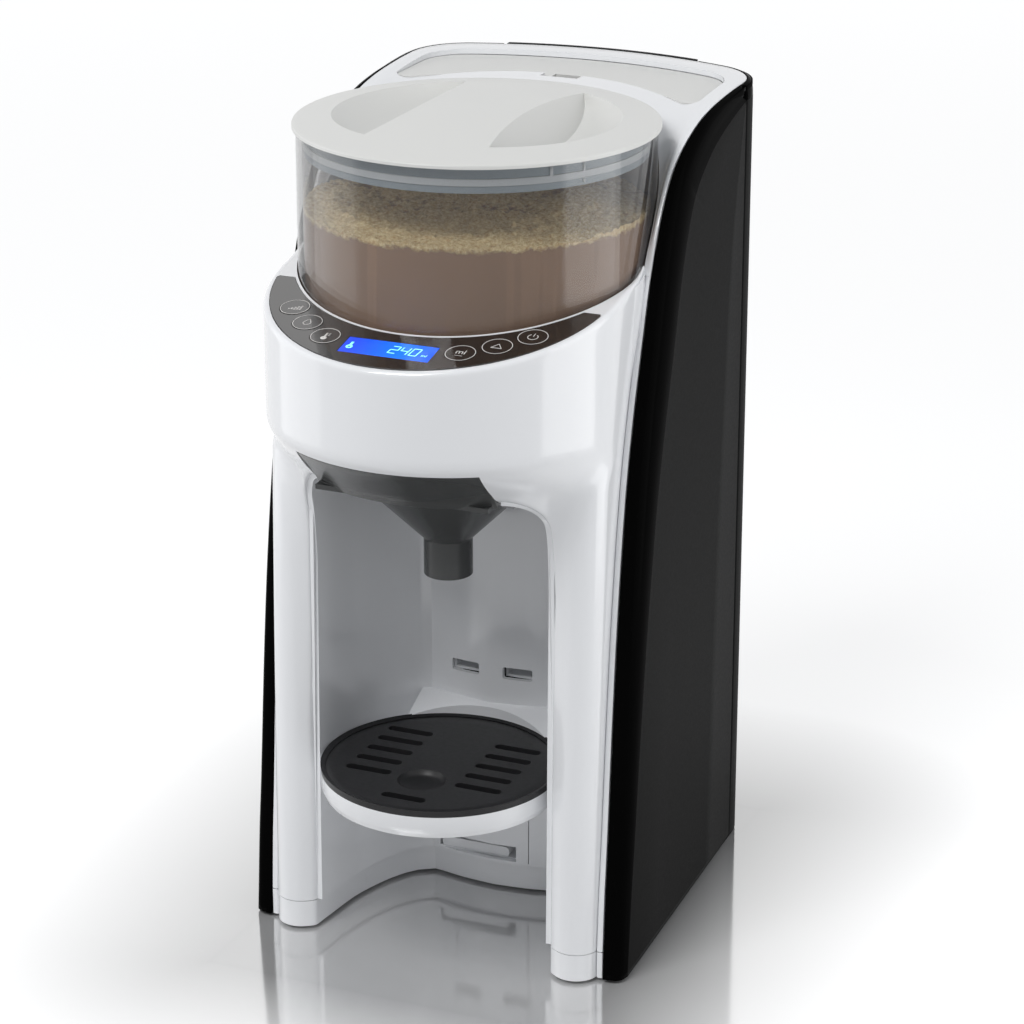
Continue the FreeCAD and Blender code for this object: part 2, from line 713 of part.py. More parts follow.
def tank_plan(inset, low, high):
    """The tank lid's outline: an arc about the container in front, the bowed rear behind."""
    half = float(tank_half) - inset
    arc_r = float(tank_inner) + inset
    bow = float(d.rear_bow - d.tank_rear_gap) - inset
    back = rear - float(d.tank_rear_gap) - inset
    side = back - bow + math.sqrt(bow**2 - half**2) - math.sqrt(arc_r**2 - half**2)
    outer = round_block(bow, 0, back - bow, low, high)
    solid = outer.common(block(-half, half, 20, FAR, low, high))
    solid = solid.cut(round_block(arc_r, 0, 0, low - 1, high + 1))
    corners = upright_edges(solid)
    split_y = sum(e.CenterOfMass.y for e in corners) / len(corners)
    behind = [e for e in corners if e.CenterOfMass.y > split_y]
    ahead = [e for e in corners if e.CenterOfMass.y <= split_y]
    rear_corner = min(float(d.tank_corner) - inset, side * 0.7)
    return solid.makeFillet(rear_corner, behind).makeFillet(max(5 - inset, 1.5), ahead)


opening = tank_plan(-float(d.deck_gap), deck - 60, deck + 10)
housing = housing.cut(opening)
sub_part("front_housing", feature("front_housing_shell", housing))
sub_part("niche_liner", feature("niche_liner_shell", liner))

# ---------------------------------------------------------------- base

foot_gap = float(d.floor_gap)


def base_outline(inset, low, high):
    """The housing's outline at the floor: columns, flanks and back, with the niche open to the front."""
    front = inset - float(d.flank_front)
    solid = white_plan(inset, low, high).common(block(-FAR, FAR, front, FAR, low, high))
    for side in (-1, 1):
        solid = solid.fuse(column_shape(side, inset, low).common(block(-FAR, FAR, -FAR, FAR, low, high)))
    return solid.cut(niche(inset, low - 5, high + 60))


TRAY_FLOOR = 2.4
base_tray = base_outline(0, foot_gap, base_top - gap)
base_tray = base_tray.cut(base_outline(wall, foot_gap + TRAY_FLOOR, base_top + 5))
sub_part("base_tray", feature("base_tray_shell", base_tray))

foot_places = [(column_x, column_y), (-column_x, column_y)]
foot_x = flank_half - d.foot_side
foot_places += [(foot_x, d.rear_reach - d.foot_inset), (-foot_x, d.rear_reach - d.foot_inset)]
feet = [
    cylinder(f"foot_{i}", d.foot_radius, d.floor_gap, (x, y + container_y, 0))
    for i, (x, y) in enumerate(foot_places)
]
rubber_feet = fuse("rubber_feet_group", *feet)
rubber_feet.Label = "rubber_feet"
nodes.append(rubber_feet)

# ---------------------------------------------------------------- black side panels and rear cover

black = back_plan(0, FAR, foot_gap, deck + 20).common(behind_flank(0))
black_hollow = back_plan(wall, FAR, foot_gap + wall, deck + 20).common(behind_flank(wall))
white_room = back_plan(wall, float(flank_half) + gap, 0, deck + 30)
black = black.cut(black_hollow).cut(white_room)
split = float(d.panel_split)
for name, x0, x1 in (("side_panel_left", -FAR, -split), ("side_panel_right", split, FAR)):
    panel = black.common(block(x0, x1, -FAR, FAR, 0, deck + 30))
    sub_part(name, feature(f"{name}_shell", panel))

rear_cover = black.common(block(-split + gap, split - gap, 0, FAR, 0, deck + 30))
VENT_ROWS = 9
vent_half = float(d.vent_half_length)
for row in range(VENT_ROWS):
    z = float(d.deck_top - d.vent_drop + d.vent_pitch * row)
    rear_cover = rear_cover.cut(block(-vent_half, vent_half, 100, FAR, z, z + float(d.vent_height)))
inlet_x = float(d.inlet_offset)
inlet_z = float(d.inlet_height)
half_x = float(d.inlet_length) / 2 + gap
half_z = float(d.inlet_width) / 2 + gap
inlet_hole = block(inlet_x - half_x, inlet_x + half_x, 100, FAR, inlet_z - half_z, inlet_z + half_z)
rear_cover = rear_cover.cut(inlet_hole)
screw_x = split - float(d.screw_side)
screw_places = [(-screw_x, float(d.screw_low))]
for drop in (float(d.screw_middle), float(d.screw_drop)):
    screw_places += [(-screw_x, deck - drop), (screw_x, deck - drop)]
SCREW_HEAD = 1.5
screws = []
for x, z in screw_places:
    y = rear - float(d.rear_bow) + math.sqrt(float(d.rear_bow) ** 2 - x**2)
    at = Vector(x, y + 0.3 - SCREW_HEAD, z)
    screws.append(Part.makeCylinder(float(d.screw_radius), SCREW_HEAD, at, Vector(0, 1, 0)))
screw_group = Part.makeCompound(screws)
sub_part("rear_cover", feature("rear_cover_shell", rear_cover.cut(screw_group)))
sub_part("rear_screws", feature("rear_screw_group", screw_group))

INLET_RIM = 3
inlet_front = d.rear_reach - d.inlet_depth
inlet_middle = inlet_front + d.inlet_depth / 2 - 0.5
inlet_foot = d.inlet_height - d.inlet_width / 2
inlet_at = (d.inlet_offset, inlet_middle, inlet_foot)
inlet_body = box("inlet_body", d.inlet_length, d.inlet_depth, d.inlet_width, inlet_at)
room_length = d.inlet_length - 2 * INLET_RIM
room_height = d.inlet_width - 2 * INLET_RIM
room_at = (d.inlet_offset, inlet_middle + 4.5, inlet_foot + INLET_RIM)
inlet_room = box("inlet_room", room_length, 16, room_height, room_at)
inlet_pins = []
for i, x in enumerate((-6, 6)):
    pin_at = (d.inlet_offset + x, inlet_middle + 0.5, d.inlet_height - 2)
    inlet_pins.append(box(f"inlet_pin_{i}", 1.6, 12, 4, pin_at))
sub_part("power_inlet", fuse("power_inlet_block", cut("inlet_shell", inlet_body, inlet_room), *inlet_pins))

# ---------------------------------------------------------------- container well and its drive

bearing_radius = d.shaft_radius + d.running_gap
bush_radius = d.shaft_radius + 3
well_plate = cylinder("well_plate", well_radius, d.well_floor, (0, 0, well_low))
well_bush_hole = cylinder("well_bush_hole", bush_radius, d.well_floor + 2, (0, 0, well_low - 1))
outlet_at = (0, -d.outlet_offset, well_low - 1)
well_outlet = cylinder("well_outlet", d.outlet_radius + 0.5, d.well_floor + 2, outlet_at)
sub_part("well_floor", cut("well_floor_plate", well_plate, well_bush_hole, well_outlet))

bush_profile = [(bearing_radius, 0), (bush_radius + 2.5, 0), (bush_radius + 2.5, 1), (bush_radius, 1)]
bush_profile += [(bush_radius, d.well_floor + 1), (bearing_radius, d.well_floor + 1)]
sub_part("well_bush", turned("well_bush_body", bush_profile, (0, 0, well_low - 1)))

gear_top = well_low - d.gear_drop
gear_low = gear_top - d.gear_width
bracket_low = gear_low - 3 - d.bracket_plate
GEAR_TEETH, IDLER_TEETH, PINION_TEETH = 30, 16, 12
idler_y = d.gear_module * ((GEAR_TEETH + IDLER_TEETH) / 2)
motor_y = idler_y + d.gear_module * ((IDLER_TEETH + PINION_TEETH) / 2)


def gear_blank(teeth, centred_gap, low, y):
    """A spur gear with involute flanks; centred_gap puts a gap, not a tooth, towards +Y."""
    module = float(d.gear_module)
    pitch_r = module * teeth / 2
    base_r = pitch_r * math.cos(math.radians(20))
    tip_r = pitch_r + module
    root_r = pitch_r - 1.25 * module
    backlash = 0.25
    half_angle = math.pi / (2 * teeth) - backlash / (2 * pitch_r)
    flat = math.tan(math.radians(20)) - math.radians(20)
    start_r = max(base_r, root_r + 0.1)
    flank = []
    for i in range(5):
        r = start_r + (tip_r - start_r) * i / 4
        roll = math.acos(min(1.0, base_r / r))
        flank.append((r, half_angle + flat - (math.tan(roll) - roll)))
    flank.insert(0, (root_r, min(flank[0][1] + 0.01, math.pi / teeth - 0.005)))
    corners = []
    for i in range(teeth):
        middle = math.pi / 2 + 2 * math.pi * (i + (0.5 if centred_gap else 0)) / teeth
        for r, a in flank:
            corners.append(Vector(r * math.cos(middle - a), r * math.sin(middle - a), 0))
        for r, a in flank[::-1]:
            corners.append(Vector(r * math.cos(middle + a), r * math.sin(middle + a), 0))
    face = Part.Face(Part.makePolygon(corners + corners[:1]))
    return face.extrude(Vector(0, 0, float(d.gear_width))).translated(Vector(0, float(y), float(low)))


PRESS_ROOM = 0.02
gear_boss = round_block(float(d.shaft_radius) + 3, 0, 0, float(gear_low), float(gear_top) + 1.5)
gear_bore = round_block(float(d.shaft_radius) + PRESS_ROOM, 0, 0, 0, deck)
gear_body = gear_blank(GEAR_TEETH, False, gear_low, 0).fuse(gear_boss).cut(gear_bore)
sub_part("drive_gear", feature("drive_gear_blank", gear_body))
idler = gear_blank(IDLER_TEETH, True, gear_low, idler_y)
idler = idler.cut(round_block(float(d.pin_radius + d.running_gap), 0, float(idler_y), 0, deck))
sub_part("idler_gear", feature("idler_gear_blank", idler))
pinion_bore = round_block(float(d.pin_radius) + PRESS_ROOM, 0, float(motor_y), 0, deck)
pinion = gear_blank(PINION_TEETH, False, gear_low, motor_y).cut(pinion_bore)
sub_part("pinion", feature("pinion_blank", pinion))

shaft = cylinder("shaft_round", d.shaft_radius, well_top - bracket_low, (0, 0, bracket_low))
dog = box("shaft_dog", d.dog_width, d.dog_width, d.dog_height + 0.5, (0, 0, well_top - 0.5))
sub_part("drive_shaft", fuse("drive_shaft_body", shaft, dog))

bracket_half = d.bracket_half_width
bracket_loop = rectangle(0, motor_y / 2 + 2, bracket_half * 2, motor_y + 36)
plate = padded("bracket_plate_body", [bracket_loop], d.bracket_plate, (0, 0, bracket_low))
plate_bore = cylinder("bracket_bore", bearing_radius, 9, (0, 0, bracket_low - 3))
plate_motor = cylinder("bracket_motor_hole", d.pin_radius + 1, 9, (0, motor_y, bracket_low - 3))
pin_at = (0, idler_y, bracket_low + 0.5)
idler_pin = cylinder("idler_pin", d.pin_radius, gear_top - bracket_low - 0.5, pin_at)
post_height = well_low - bracket_low - d.bracket_plate
post_x = bracket_half - 4
post_places = [(-post_x, -10), (post_x, -10), (-post_x, 50), (post_x, 50)]
posts = [
    cylinder(f"bracket_post_{i}", d.post_radius, post_height, (x, y, bracket_low + d.bracket_plate))
    for i, (x, y) in enumerate(post_places)
]
drilled = cut("bracket_drilled", plate, plate_bore, plate_motor)
sub_part("motor_bracket", fuse("motor_bracket_body", drilled, idler_pin, *posts))

motor_can = cylinder("motor_can", d.motor_radius, d.motor_length, (0, motor_y, bracket_low - d.motor_length))
sub_part("gear_motor", motor_can)
motor_shaft = cylinder("motor_shaft_rod", d.pin_radius, gear_top - bracket_low, (0, motor_y, bracket_low))
sub_part("motor_shaft", motor_shaft)

chute_out = d.outlet_radius + 2
chute_in = d.outlet_radius + 0.5
chute_low = ceiling_z + 1
chute_at = (0, -d.outlet_offset, chute_low)
chute = tube("powder_chute_tube", chute_out, chute_in, well_low - chute_low, chute_at)
sub_part("powder_chute", chute)

# ---------------------------------------------------------------- powder container

inner_radius = d.container_radius - d.container_wall
hub_hole = d.hub_radius + d.running_gap + 0.2
container_profile = [
    (hub_hole, 0),
    (d.container_radius, 0),
    (d.container_radius, d.container_height),
    (inner_radius, d.container_height),
    (inner_radius, d.container_wall),
    (hub_hole, d.container_wall),
]
jar = turned("container_jar", container_profile, (0, 0, container_foot))
jar_outlet = cylinder("container_outlet", d.outlet_radius, 9, (0, -d.outlet_offset, container_foot - 3))
sub_part("powder_container", cut("container_body", jar, jar_outlet))

wheel_low = container_foot + d.container_wall + d.wheel_gap
wheel_radius = inner_radius - 1
hub_top = wheel_low + d.dosing_height + d.wheel_gap + d.stirring_height
dog_room = d.dog_width + 0.6
dosing_disc = cylinder("dosing_disc", wheel_radius, d.dosing_height, (0, 0, wheel_low))
hub_low = container_foot + 0.3
dosing_hub = cylinder("dosing_hub", d.hub_radius, hub_top - hub_low, (0, 0, hub_low))
dosing_socket = box("dosing_socket", dog_room, dog_room, d.dog_height + 6, (0, 0, container_foot - 3))
dosing_pockets = []
for i in range(6):
    a = math.radians(30 + 60 * i)
    at = (math.cos(a) * d.outlet_offset, math.sin(a) * d.outlet_offset, wheel_low - 1)
    dosing_pockets.append(cylinder(f"dosing_pocket_{i}", d.pocket_radius, d.dosing_height + 2, at))
dosing_blank = fuse("dosing_blank", dosing_disc, dosing_hub)
sub_part("dosing_wheel", cut("dosing_wheel_body", dosing_blank, dosing_socket, *dosing_pockets))

stir_low = wheel_low + d.dosing_height + d.wheel_gap
stir_rim = tube("stirring_rim", wheel_radius, wheel_radius - 3, d.stirring_height, (0, 0, stir_low))
stir_hub = tube("stirring_hub", d.hub_radius + 4, d.hub_radius, d.stirring_height, (0, 0, stir_low))
SPOKE_WIDTH = 5
spoke_length = wheel_radius - d.hub_radius - 3
spoke_middle = d.hub_radius + 2 + spoke_length / 2
spokes = []
for i, (x, y) in enumerate([(1, 0), (0, 1), (-1, 0), (0, -1)]):
    length = spoke_length if x else SPOKE_WIDTH
    width = spoke_length if y else SPOKE_WIDTH
    at = (spoke_middle * x, spoke_middle * y, stir_low)
    spokes.append(box(f"stirring_spoke_{i}", length, width, d.stirring_height, at))
sub_part("stirring_wheel", fuse("stirring_wheel_body", stir_rim, stir_hub, *spokes))

powder_top = d.deck_top - d.powder_drop
powder_low = hub_top + d.powder_clear
sub_part("milk_powder", cylinder("powder_fill", inner_radius, powder_top - powder_low, (0, 0, powder_low)))

# ---------------------------------------------------------------- container lid

lid_low = d.deck_top - d.lid_rim
lid_r = float(lid_radius)
crown = float(d.lid_crown)
dome_r = (lid_r**2 + crown**2) / (2 * crown)
dome = Part.makeSphere(dome_r, Vector(0, 0, deck + crown - dome_r))
cap = round_block(lid_r, 0, 0, float(lid_low), deck + crown + 5).common(dome)


def scoop_plan(grow, low, high):
    """The D-shaped outline of the right finger scoop, grown by a margin."""
    tip_x, tip_y = float(d.grip_half_width), lid_r - float(d.tip_margin)
    reach = lid_r - float(d.scoop_margin)
    outer = [(tip_x, -tip_y, low), (reach, 0, low), (tip_x, tip_y, low)]
    bar = [(tip_x, tip_y, low), (float(d.grip_waist), 0, low), (tip_x, -tip_y, low)]
    face = Part.Face(Part.Wire([arc(*outer), arc(*bar)]))
    if grow:
        face = face.makeOffset2D(grow)
    solid = face.extrude(Vector(0, 0, high - low))
    if not grow:
        solid = solid.makeFillet(3, upright_edges(solid))
    return solid


def scoop_floor(drop):
    """Everything above the scoop's floor, which rises from beside the bar to its outer edge."""
    inner_x = float(d.grip_waist) - 4
    outer_x = lid_r - float(d.scoop_margin) + 4
    low = deck - float(d.scoop_depth) - drop
    edges = [
        line((inner_x, 0, low + 1), (inner_x + 9, 0, low)),
        line((inner_x + 9, 0, low), (outer_x, 0, deck + 3 - drop)),
        line((outer_x, 0, deck + 3 - drop), (outer_x, 0, deck + 40)),
        line((outer_x, 0, deck + 40), (inner_x, 0, deck + 40)),
        line((inner_x, 0, deck + 40), (inner_x, 0, low + 1)),
    ]
    return Part.Face(Part.Wire(edges)).extrude(Vector(0, 200, 0)).translated(Vector(0, -100, 0))


LID_SKIN = 2.0
for flip in (False, True):
    cavity = scoop_plan(0, deck - 40, deck + 30).common(scoop_floor(0))
    bowl = scoop_plan(LID_SKIN, deck - 40, float(lid_low) + 1).common(scoop_floor(LID_SKIN))
    if flip:
        cavity = cavity.mirror(Vector(0, 0, 0), Vector(1, 0, 0))
        bowl = bowl.mirror(Vector(0, 0, 0), Vector(1, 0, 0))
    cap = cap.fuse(bowl).cut(cavity)
sub_part("lid_cap", feature("lid_cap_shell", cap))

SEAL_LIFT = 3
skirt_low = lid_low - d.skirt_depth
skirt_radius = inner_radius - d.skirt_gap
skirt_inner = skirt_radius - d.skirt_wall
skirt_height = d.skirt_depth - d.seat_gap
seal_inner = skirt_radius - 1.4
seal_outer = inner_radius - 0.3
skirt_profile = [
    (skirt_inner, 0),
    (skirt_radius, 0),
    (skirt_radius, SEAL_LIFT),
    (seal_inner, SEAL_LIFT),
    (seal_inner, SEAL_LIFT + d.seal_height),
    (skirt_radius, SEAL_LIFT + d.seal_height),
    (skirt_radius, skirt_height),
    (skirt_inner, skirt_height),
]
sub_part("lid_skirt", turned("lid_skirt_ring", skirt_profile, (0, 0, skirt_low)))
seal = tube("lid_seal_ring", seal_outer, seal_inner, d.seal_height, (0, 0, skirt_low + SEAL_LIFT))
sub_part("lid_seal", seal)

# ---------------------------------------------------------------- control panel

panel = crescent(0.25, 0.3, 0.25).common(panel_slab(0, thick))
for x, y in buttons.values():
    panel = panel.cut(button_stub(x, y, button_r + float(d.button_gap), -5, 9))
display_y = nose - float(panel_radius - d.display_margin)


def display_box(margin):
    """The display's window, grown by a margin, right through the panel."""
    half_x = float(d.display_length) / 2 + margin
    half_y = float(d.display_width) / 2 + margin
    return block(-half_x, half_x, display_y - half_y, display_y + half_y, 0, deck)


panel = panel.cut(display_box(0.2).common(panel_slab(-5, 5)))
sub_part("control_panel", feature("control_panel_plate", panel))
sub_part("display", feature("display_glass", display_box(0).common(panel_slab(0.1, thick + 1.5))))

travel = float(d.button_travel)
switch_top = board_top - float(d.switch_height)
switches = []
low_end = switch_top - travel - 0.1
for name, (x, y) in buttons.items():
    keycap = button_stub(x, y, button_r, -0.15, thick + 0.2)
    flange = button_stub(x, y, flange_r, thick + 0.2, thick + 1.2)
    stem = button_stub(x, y, float(d.button_stem), thick + 1.2, low_end)
    sub_part(name, feature(f"{name}_cap", keycap.fuse(flange).fuse(stem)))
    switches.append(button_stub(x, y, float(d.switch_radius), switch_top, board_top))
board_low = board_top + float(d.board_thickness)
board = crescent(4.6, 4.2, 7.6).common(panel_slab(board_top, board_low))
sub_part("control_board", feature("control_board_plate", board))
sub_part("button_switches", feature("button_switch_group", Part.makeCompound(switches)))

# ---------------------------------------------------------------- funnel

rim_top = ceiling_z - d.funnel_drop - d.flange_thickness
spout_low = rim_top - d.rim_depth - d.cone_height - d.spout_length
neck_top = d.spout_length + d.cone_height
flange_top = neck_top + d.rim_depth + d.flange_thickness
spout_bore = d.spout_radius - d.funnel_wall
cone_bore = d.cone_radius - d.funnel_wall
funnel_profile = [
    (spout_bore, 0),
    (d.spout_radius, 0),
    (d.spout_radius, d.spout_length),
    (d.cone_radius, neck_top),
    (d.cone_radius, flange_top),
    (cone_bore, flange_top),
    (cone_bore, neck_top + 1),
    (spout_bore, d.spout_length + 1),
]
funnel_cone = turned("funnel_cone", funnel_profile, (0, -d.outlet_offset, spout_low))
PLATE_SKIN = 2.2
flange_back = float(d.cone_radius - d.outlet_offset) + 4
flange_half = float(d.flange_half_width)
plate_low = float(rim_top)
plate_top = float(rim_top + d.flange_thickness)
mouth = round_block(float(cone_bore), 0, -float(d.outlet_offset), 0, deck)
inside_plate = head_shape(PLATE_SKIN)
plate = block(-plate_half, plate_half, -FAR, slot_end - 3, plate_low, plate_high)
plate = plate.common(head_shape(0)).cut(inside_plate)
apron = inside_plate.common(block(-plate_half, plate_half, -FAR, flange_front + 12, plate_low, plate_top))
flange = block(-flange_half, flange_half, flange_front, flange_back, plate_low, plate_top)
flange = flange.fuse(apron).cut(mouth)
sub_part("funnel", fuse("funnel_body", funnel_cone, feature("funnel_front", plate.fuse(flange))))

rail_gap = float(d.rail_gap)
rail_inner = float(d.cone_radius) + 0.6
rail_outer = flange_half + 4
channel_half = flange_half + rail_gap
channel_back = flange_back + rail_gap
channel = block(0, channel_half, -FAR, channel_back, plate_low - rail_gap, plate_top + rail_gap)
rails = []
for side in (-1, 1):
    rail = block(rail_inner, rail_outer, flange_front + 17.4, flange_back + 4, plate_low - 3, ceiling)
    rail = rail.cut(channel).common(niche(0, 100, ceiling))
    rails.append(rail if side > 0 else rail.mirror(Vector(0, 0, 0), Vector(1, 0, 0)))
sub_part("funnel_rails", feature("funnel_rail_pair", Part.makeCompound(rails)))

# ---------------------------------------------------------------- drip tray

tray_inner = d.tray_radius - d.tray_wall
grid_ledge = tray_inner - 1.6
ledge_top = d.tray_depth - d.grid_thickness
dish_rim = d.tray_depth - 0.6
dish_profile = [
    (0, 0),
    (d.tray_radius - 5, 0),
    (d.tray_radius - 1.5, 1.6),
    (d.tray_radius, 5),
    (d.tray_radius, dish_rim),
    (tray_inner, dish_rim),
    (tray_inner, ledge_top),
    (grid_ledge, ledge_top),
    (grid_ledge, 5.6),
    (d.tray_radius - 6, d.tray_wall),
    (0, d.tray_wall),
]
dish = turned("tray_dish", dish_profile, (0, -tray_offset, tray_low))
tray_y = -float(tray_offset)
tray_r = float(d.tray_radius)
tray_floor_z = float(tray_low)
grid_top = float(d.tray_top)
RAMP_START, RAMP_END, RAMP_RISE = -4, 14, 7
# The raised flange behind the dish follows the niche's back wall.
flange_plan = niche(-0.8, tray_floor_z, grid_top + 8)
flange_plan = flange_plan.common(block(-34, 34, RAMP_START, 40, tray_floor_z, grid_top + 8))
flange_plan = flange_plan.cut(round_block(tray_r - 0.3, 0, tray_y, 0, deck))
ramp = [
    (0, RAMP_START, tray_floor_z + 3),
    (0, RAMP_START, grid_top - 0.6),
    (0, RAMP_END, grid_top + RAMP_RISE),
    (0, 40, grid_top + RAMP_RISE),
    (0, 40, tray_floor_z + 3),
]
rear_flange = flange_plan.common(across([line(a, b) for a, b in zip(ramp, ramp[1:] + ramp[:1])]))
for side in (-1, 1):
    x = side * float(d.hook_offset)
    half = float(d.hook_half_width)
    hook_end = float(d.niche_depth) + wall + 4.5
    hook = block(x - half, x + half, 8, hook_end, hook_z, hook_z + float(d.hook_height))
    rear_flange = rear_flange.fuse(hook.cut(round_block(tray_r, 0, tray_y, 0, deck)))
tray_flange = feature("tray_flange", rear_flange)
sub_part("drip_tray", fuse("drip_tray_body", dish, tray_flange))

grid_low = d.tray_top - d.grid_thickness
grid = cylinder("grid_disc", tray_inner - 0.1, d.grid_thickness, (0, -tray_offset, grid_low))
SLOT_ROWS = 5
slot_cut = d.grid_thickness + 4
slot_z = grid_low - 2
slots = []
for row in range(SLOT_ROWS):
    y = row * d.slot_pitch - d.slot_first - tray_offset
    for side in (-1, 1):
        x = side * (d.slot_length / 2 + d.slot_inset)
        name = f"drip_slot_{row}_{side + 1}"
        slots.append(box(name, d.slot_length, d.slot_width, slot_cut, (x, y, slot_z)))
front_at = (0, -tray_offset - d.front_slot, slot_z)
slots.append(box("drip_slot_front", d.slot_length - 1, d.slot_width, slot_cut, front_at))
sub_part("tray_grid", cut("tray_grid_plate", grid, *slots))

# ---------------------------------------------------------------- water tank and plumbing

lid_top_z = deck - float(d.tank_lid_drop)
lid_low_z = lid_top_z - float(d.tank_lid_thickness)
tank_top = lid_low_z - 0.1
tank_low = float(d.tank_foot)
margin = float(d.tank_margin)
tank_wall = float(d.tank_wall)
tank = tank_plan(margin, tank_low, tank_top)
tank = tank.cut(tank_plan(margin + tank_wall, tank_low + tank_wall, tank_top + 5))
valve_y = rear - float(d.valve_inset)
valve_r = float(d.valve_radius)
tank = tank.cut(round_block(valve_r + 0.4, 0, valve_y, tank_low - 1, tank_low + 5))
sub_part("water_tank", feature("water_tank_shell", tank))
tank_lid = tank_plan(0, lid_low_z, lid_top_z)
finger = block(-6, 6, 0, float(tank_inner) + 5, 0, deck + 5)
sub_part("tank_lid", feature("tank_lid_plate", tank_lid.cut(finger)))
valve_stem = round_block(valve_r, 0, valve_y, tank_low - 4, tank_low + 6)
valve_collar = round_block(valve_r + 3, 0, valve_y, tank_low + tank_wall, tank_low + tank_wall + 3)
sub_part("tank_valve", feature("tank_valve_body", valve_stem.fuse(valve_collar)))
SHELF = 5
seat_top = tank_low - 0.3
socket_z = seat_top - float(d.neck_height)
socket_r = valve_r + 0.8
socket = round_block(socket_r + 3, 0, valve_y, socket_z, seat_top - SHELF)
seat = tank_plan(margin, seat_top - SHELF, seat_top).fuse(socket)
seat = seat.cut(round_block(socket_r, 0, valve_y, socket_z + 3, deck))
sub_part("tank_seat", feature("tank_seat_shelf", seat))

base_floor = float(d.floor_gap) + TRAY_FLOOR
board_x = flank_half - d.board_side
board_y = d.niche_depth + d.board_back
transformer_x = board_x - d.transformer_side
pump_x = transformer_x - d.pump_side
pump_y = d.niche_depth + d.pump_back
heater_x = d.heater_side - flank_half
heater_y = d.niche_depth + d.heater_back
HEATER_STAND = 8
heater_at = (heater_x, heater_y, base_floor + HEATER_STAND)
heater = cylinder("heater_can", d.heater_radius, d.heater_height, heater_at)
heater_stand = box("heater_stand", 20, 20, HEATER_STAND, (heater_x, heater_y, base_floor))
sub_part("water_heater", fuse("water_heater_body", heater, heater_stand))
pump = cylinder("pump_can", d.pump_radius, d.pump_length, (pump_x, pump_y, base_floor))
pump_neck = cylinder("pump_neck", 6, d.neck_height, (pump_x, pump_y, base_floor + d.pump_length))
sub_part("water_pump", fuse("water_pump_body", pump, pump_neck))

BOARD_FOOT = 6
main_board = box("main_board_plate", d.board_thickness, 62, 80, (board_x, board_y, base_floor + BOARD_FOOT))
board_foot = box("main_board_foot", 8, 50, BOARD_FOOT, (board_x, board_y, base_floor))
sub_part("main_board", fuse("main_board_body", main_board, board_foot))
transformer = box("transformer_core", 28, 34, 32, (transformer_x, board_y, base_floor))
sub_part("transformer", transformer)


def pipe(points, radius):
    """A round pipe along straight runs joined by tangent arcs."""
    vectors = [Vector(*p) for p in points]
    edges = []
    here = vectors[0]
    for before, corner, after in zip(vectors, vectors[1:], vectors[2:]):
        back = (before - corner).normalize()
        onward = (after - corner).normalize()
        half = back.getAngle(onward) / 2
        run = min((before - corner).Length, (after - corner).Length) * 0.45
        bend = min(run * math.tan(half), 9.0)
        cut_back = bend / math.tan(half)
        start = corner + back * cut_back
        end = corner + onward * cut_back
        middle = (back + onward).normalize()
        top = corner + middle * (bend / math.sin(half) - bend)
        edges.append(Part.LineSegment(here, start).toShape())
        edges.append(Part.Arc(start, top, end).toShape())
        here = end
    edges.append(Part.LineSegment(here, vectors[-1]).toShape())
    path = Part.Wire(edges)
    section = Part.Wire([Part.makeCircle(radius, vectors[0], vectors[1] - vectors[0])])
    return path.makePipeShell([section], True, True)


pipe_r = float(d.pipe_radius)
pipe_z = ceiling + wall + 6
nozzle_x = -19
nozzle_y = -float(d.outlet_offset)
heater_top = base_floor + HEATER_STAND + float(d.heater_height)
nozzle = round_block(5, nozzle_x, nozzle_y, pipe_z - 8, pipe_z + 5)
nozzle = nozzle.cut(round_block(2.2, nozzle_x, nozzle_y, 0, pipe_z))
heater_place = (float(heater_x), float(heater_y))
hot_route = [(*heater_place, heater_top), (*heater_place, pipe_z), (heater_place[0] + 2, -10, pipe_z)]
hot_route.append((nozzle_x - 4, nozzle_y, pipe_z))
hot_pipe = pipe(hot_route, pipe_r)
sub_part("hot_water_pipe", feature("hot_water_tube", hot_pipe))
sub_part("water_nozzle", feature("water_nozzle_body", nozzle.cut(hot_pipe)))
BEND_Z = 84
pump_top = base_floor + float(d.pump_length + d.neck_height)
pump_place = (float(pump_x), float(pump_y))
cold_route = [(0, valve_y, socket_z), (0, valve_y, BEND_Z), (*pump_place, BEND_Z), (*pump_place, pump_top)]
sub_part("cold_water_pipe", feature("cold_water_tube", pipe(cold_route, pipe_r)))

# ---------------------------------------------------------------- check and write

doc.recompute()
for obj in doc.Objects:
    if "Invalid" in obj.State or "Error" in obj.State:
        raise RuntimeError(f"{obj.Name}: {obj.State}")
labels = [obj.Label for obj in nodes]
if len(set(labels)) != len(labels):
    raise RuntimeError("two sub-parts share a name")
for obj in nodes:
    if obj.Shape.isNull() or not obj.Shape.isValid() or not obj.Shape.Solids:
        raise RuntimeError(f"{obj.Label}: its shape is not a valid solid")

os.makedirs("parts", exist_ok=True)
for obj in nodes:
    obj.Shape.exportStep(f"parts/{obj.Label}.step")
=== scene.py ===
import bisect
import math

import bmesh
import bpy
from mathutils import Matrix, Vector, noise


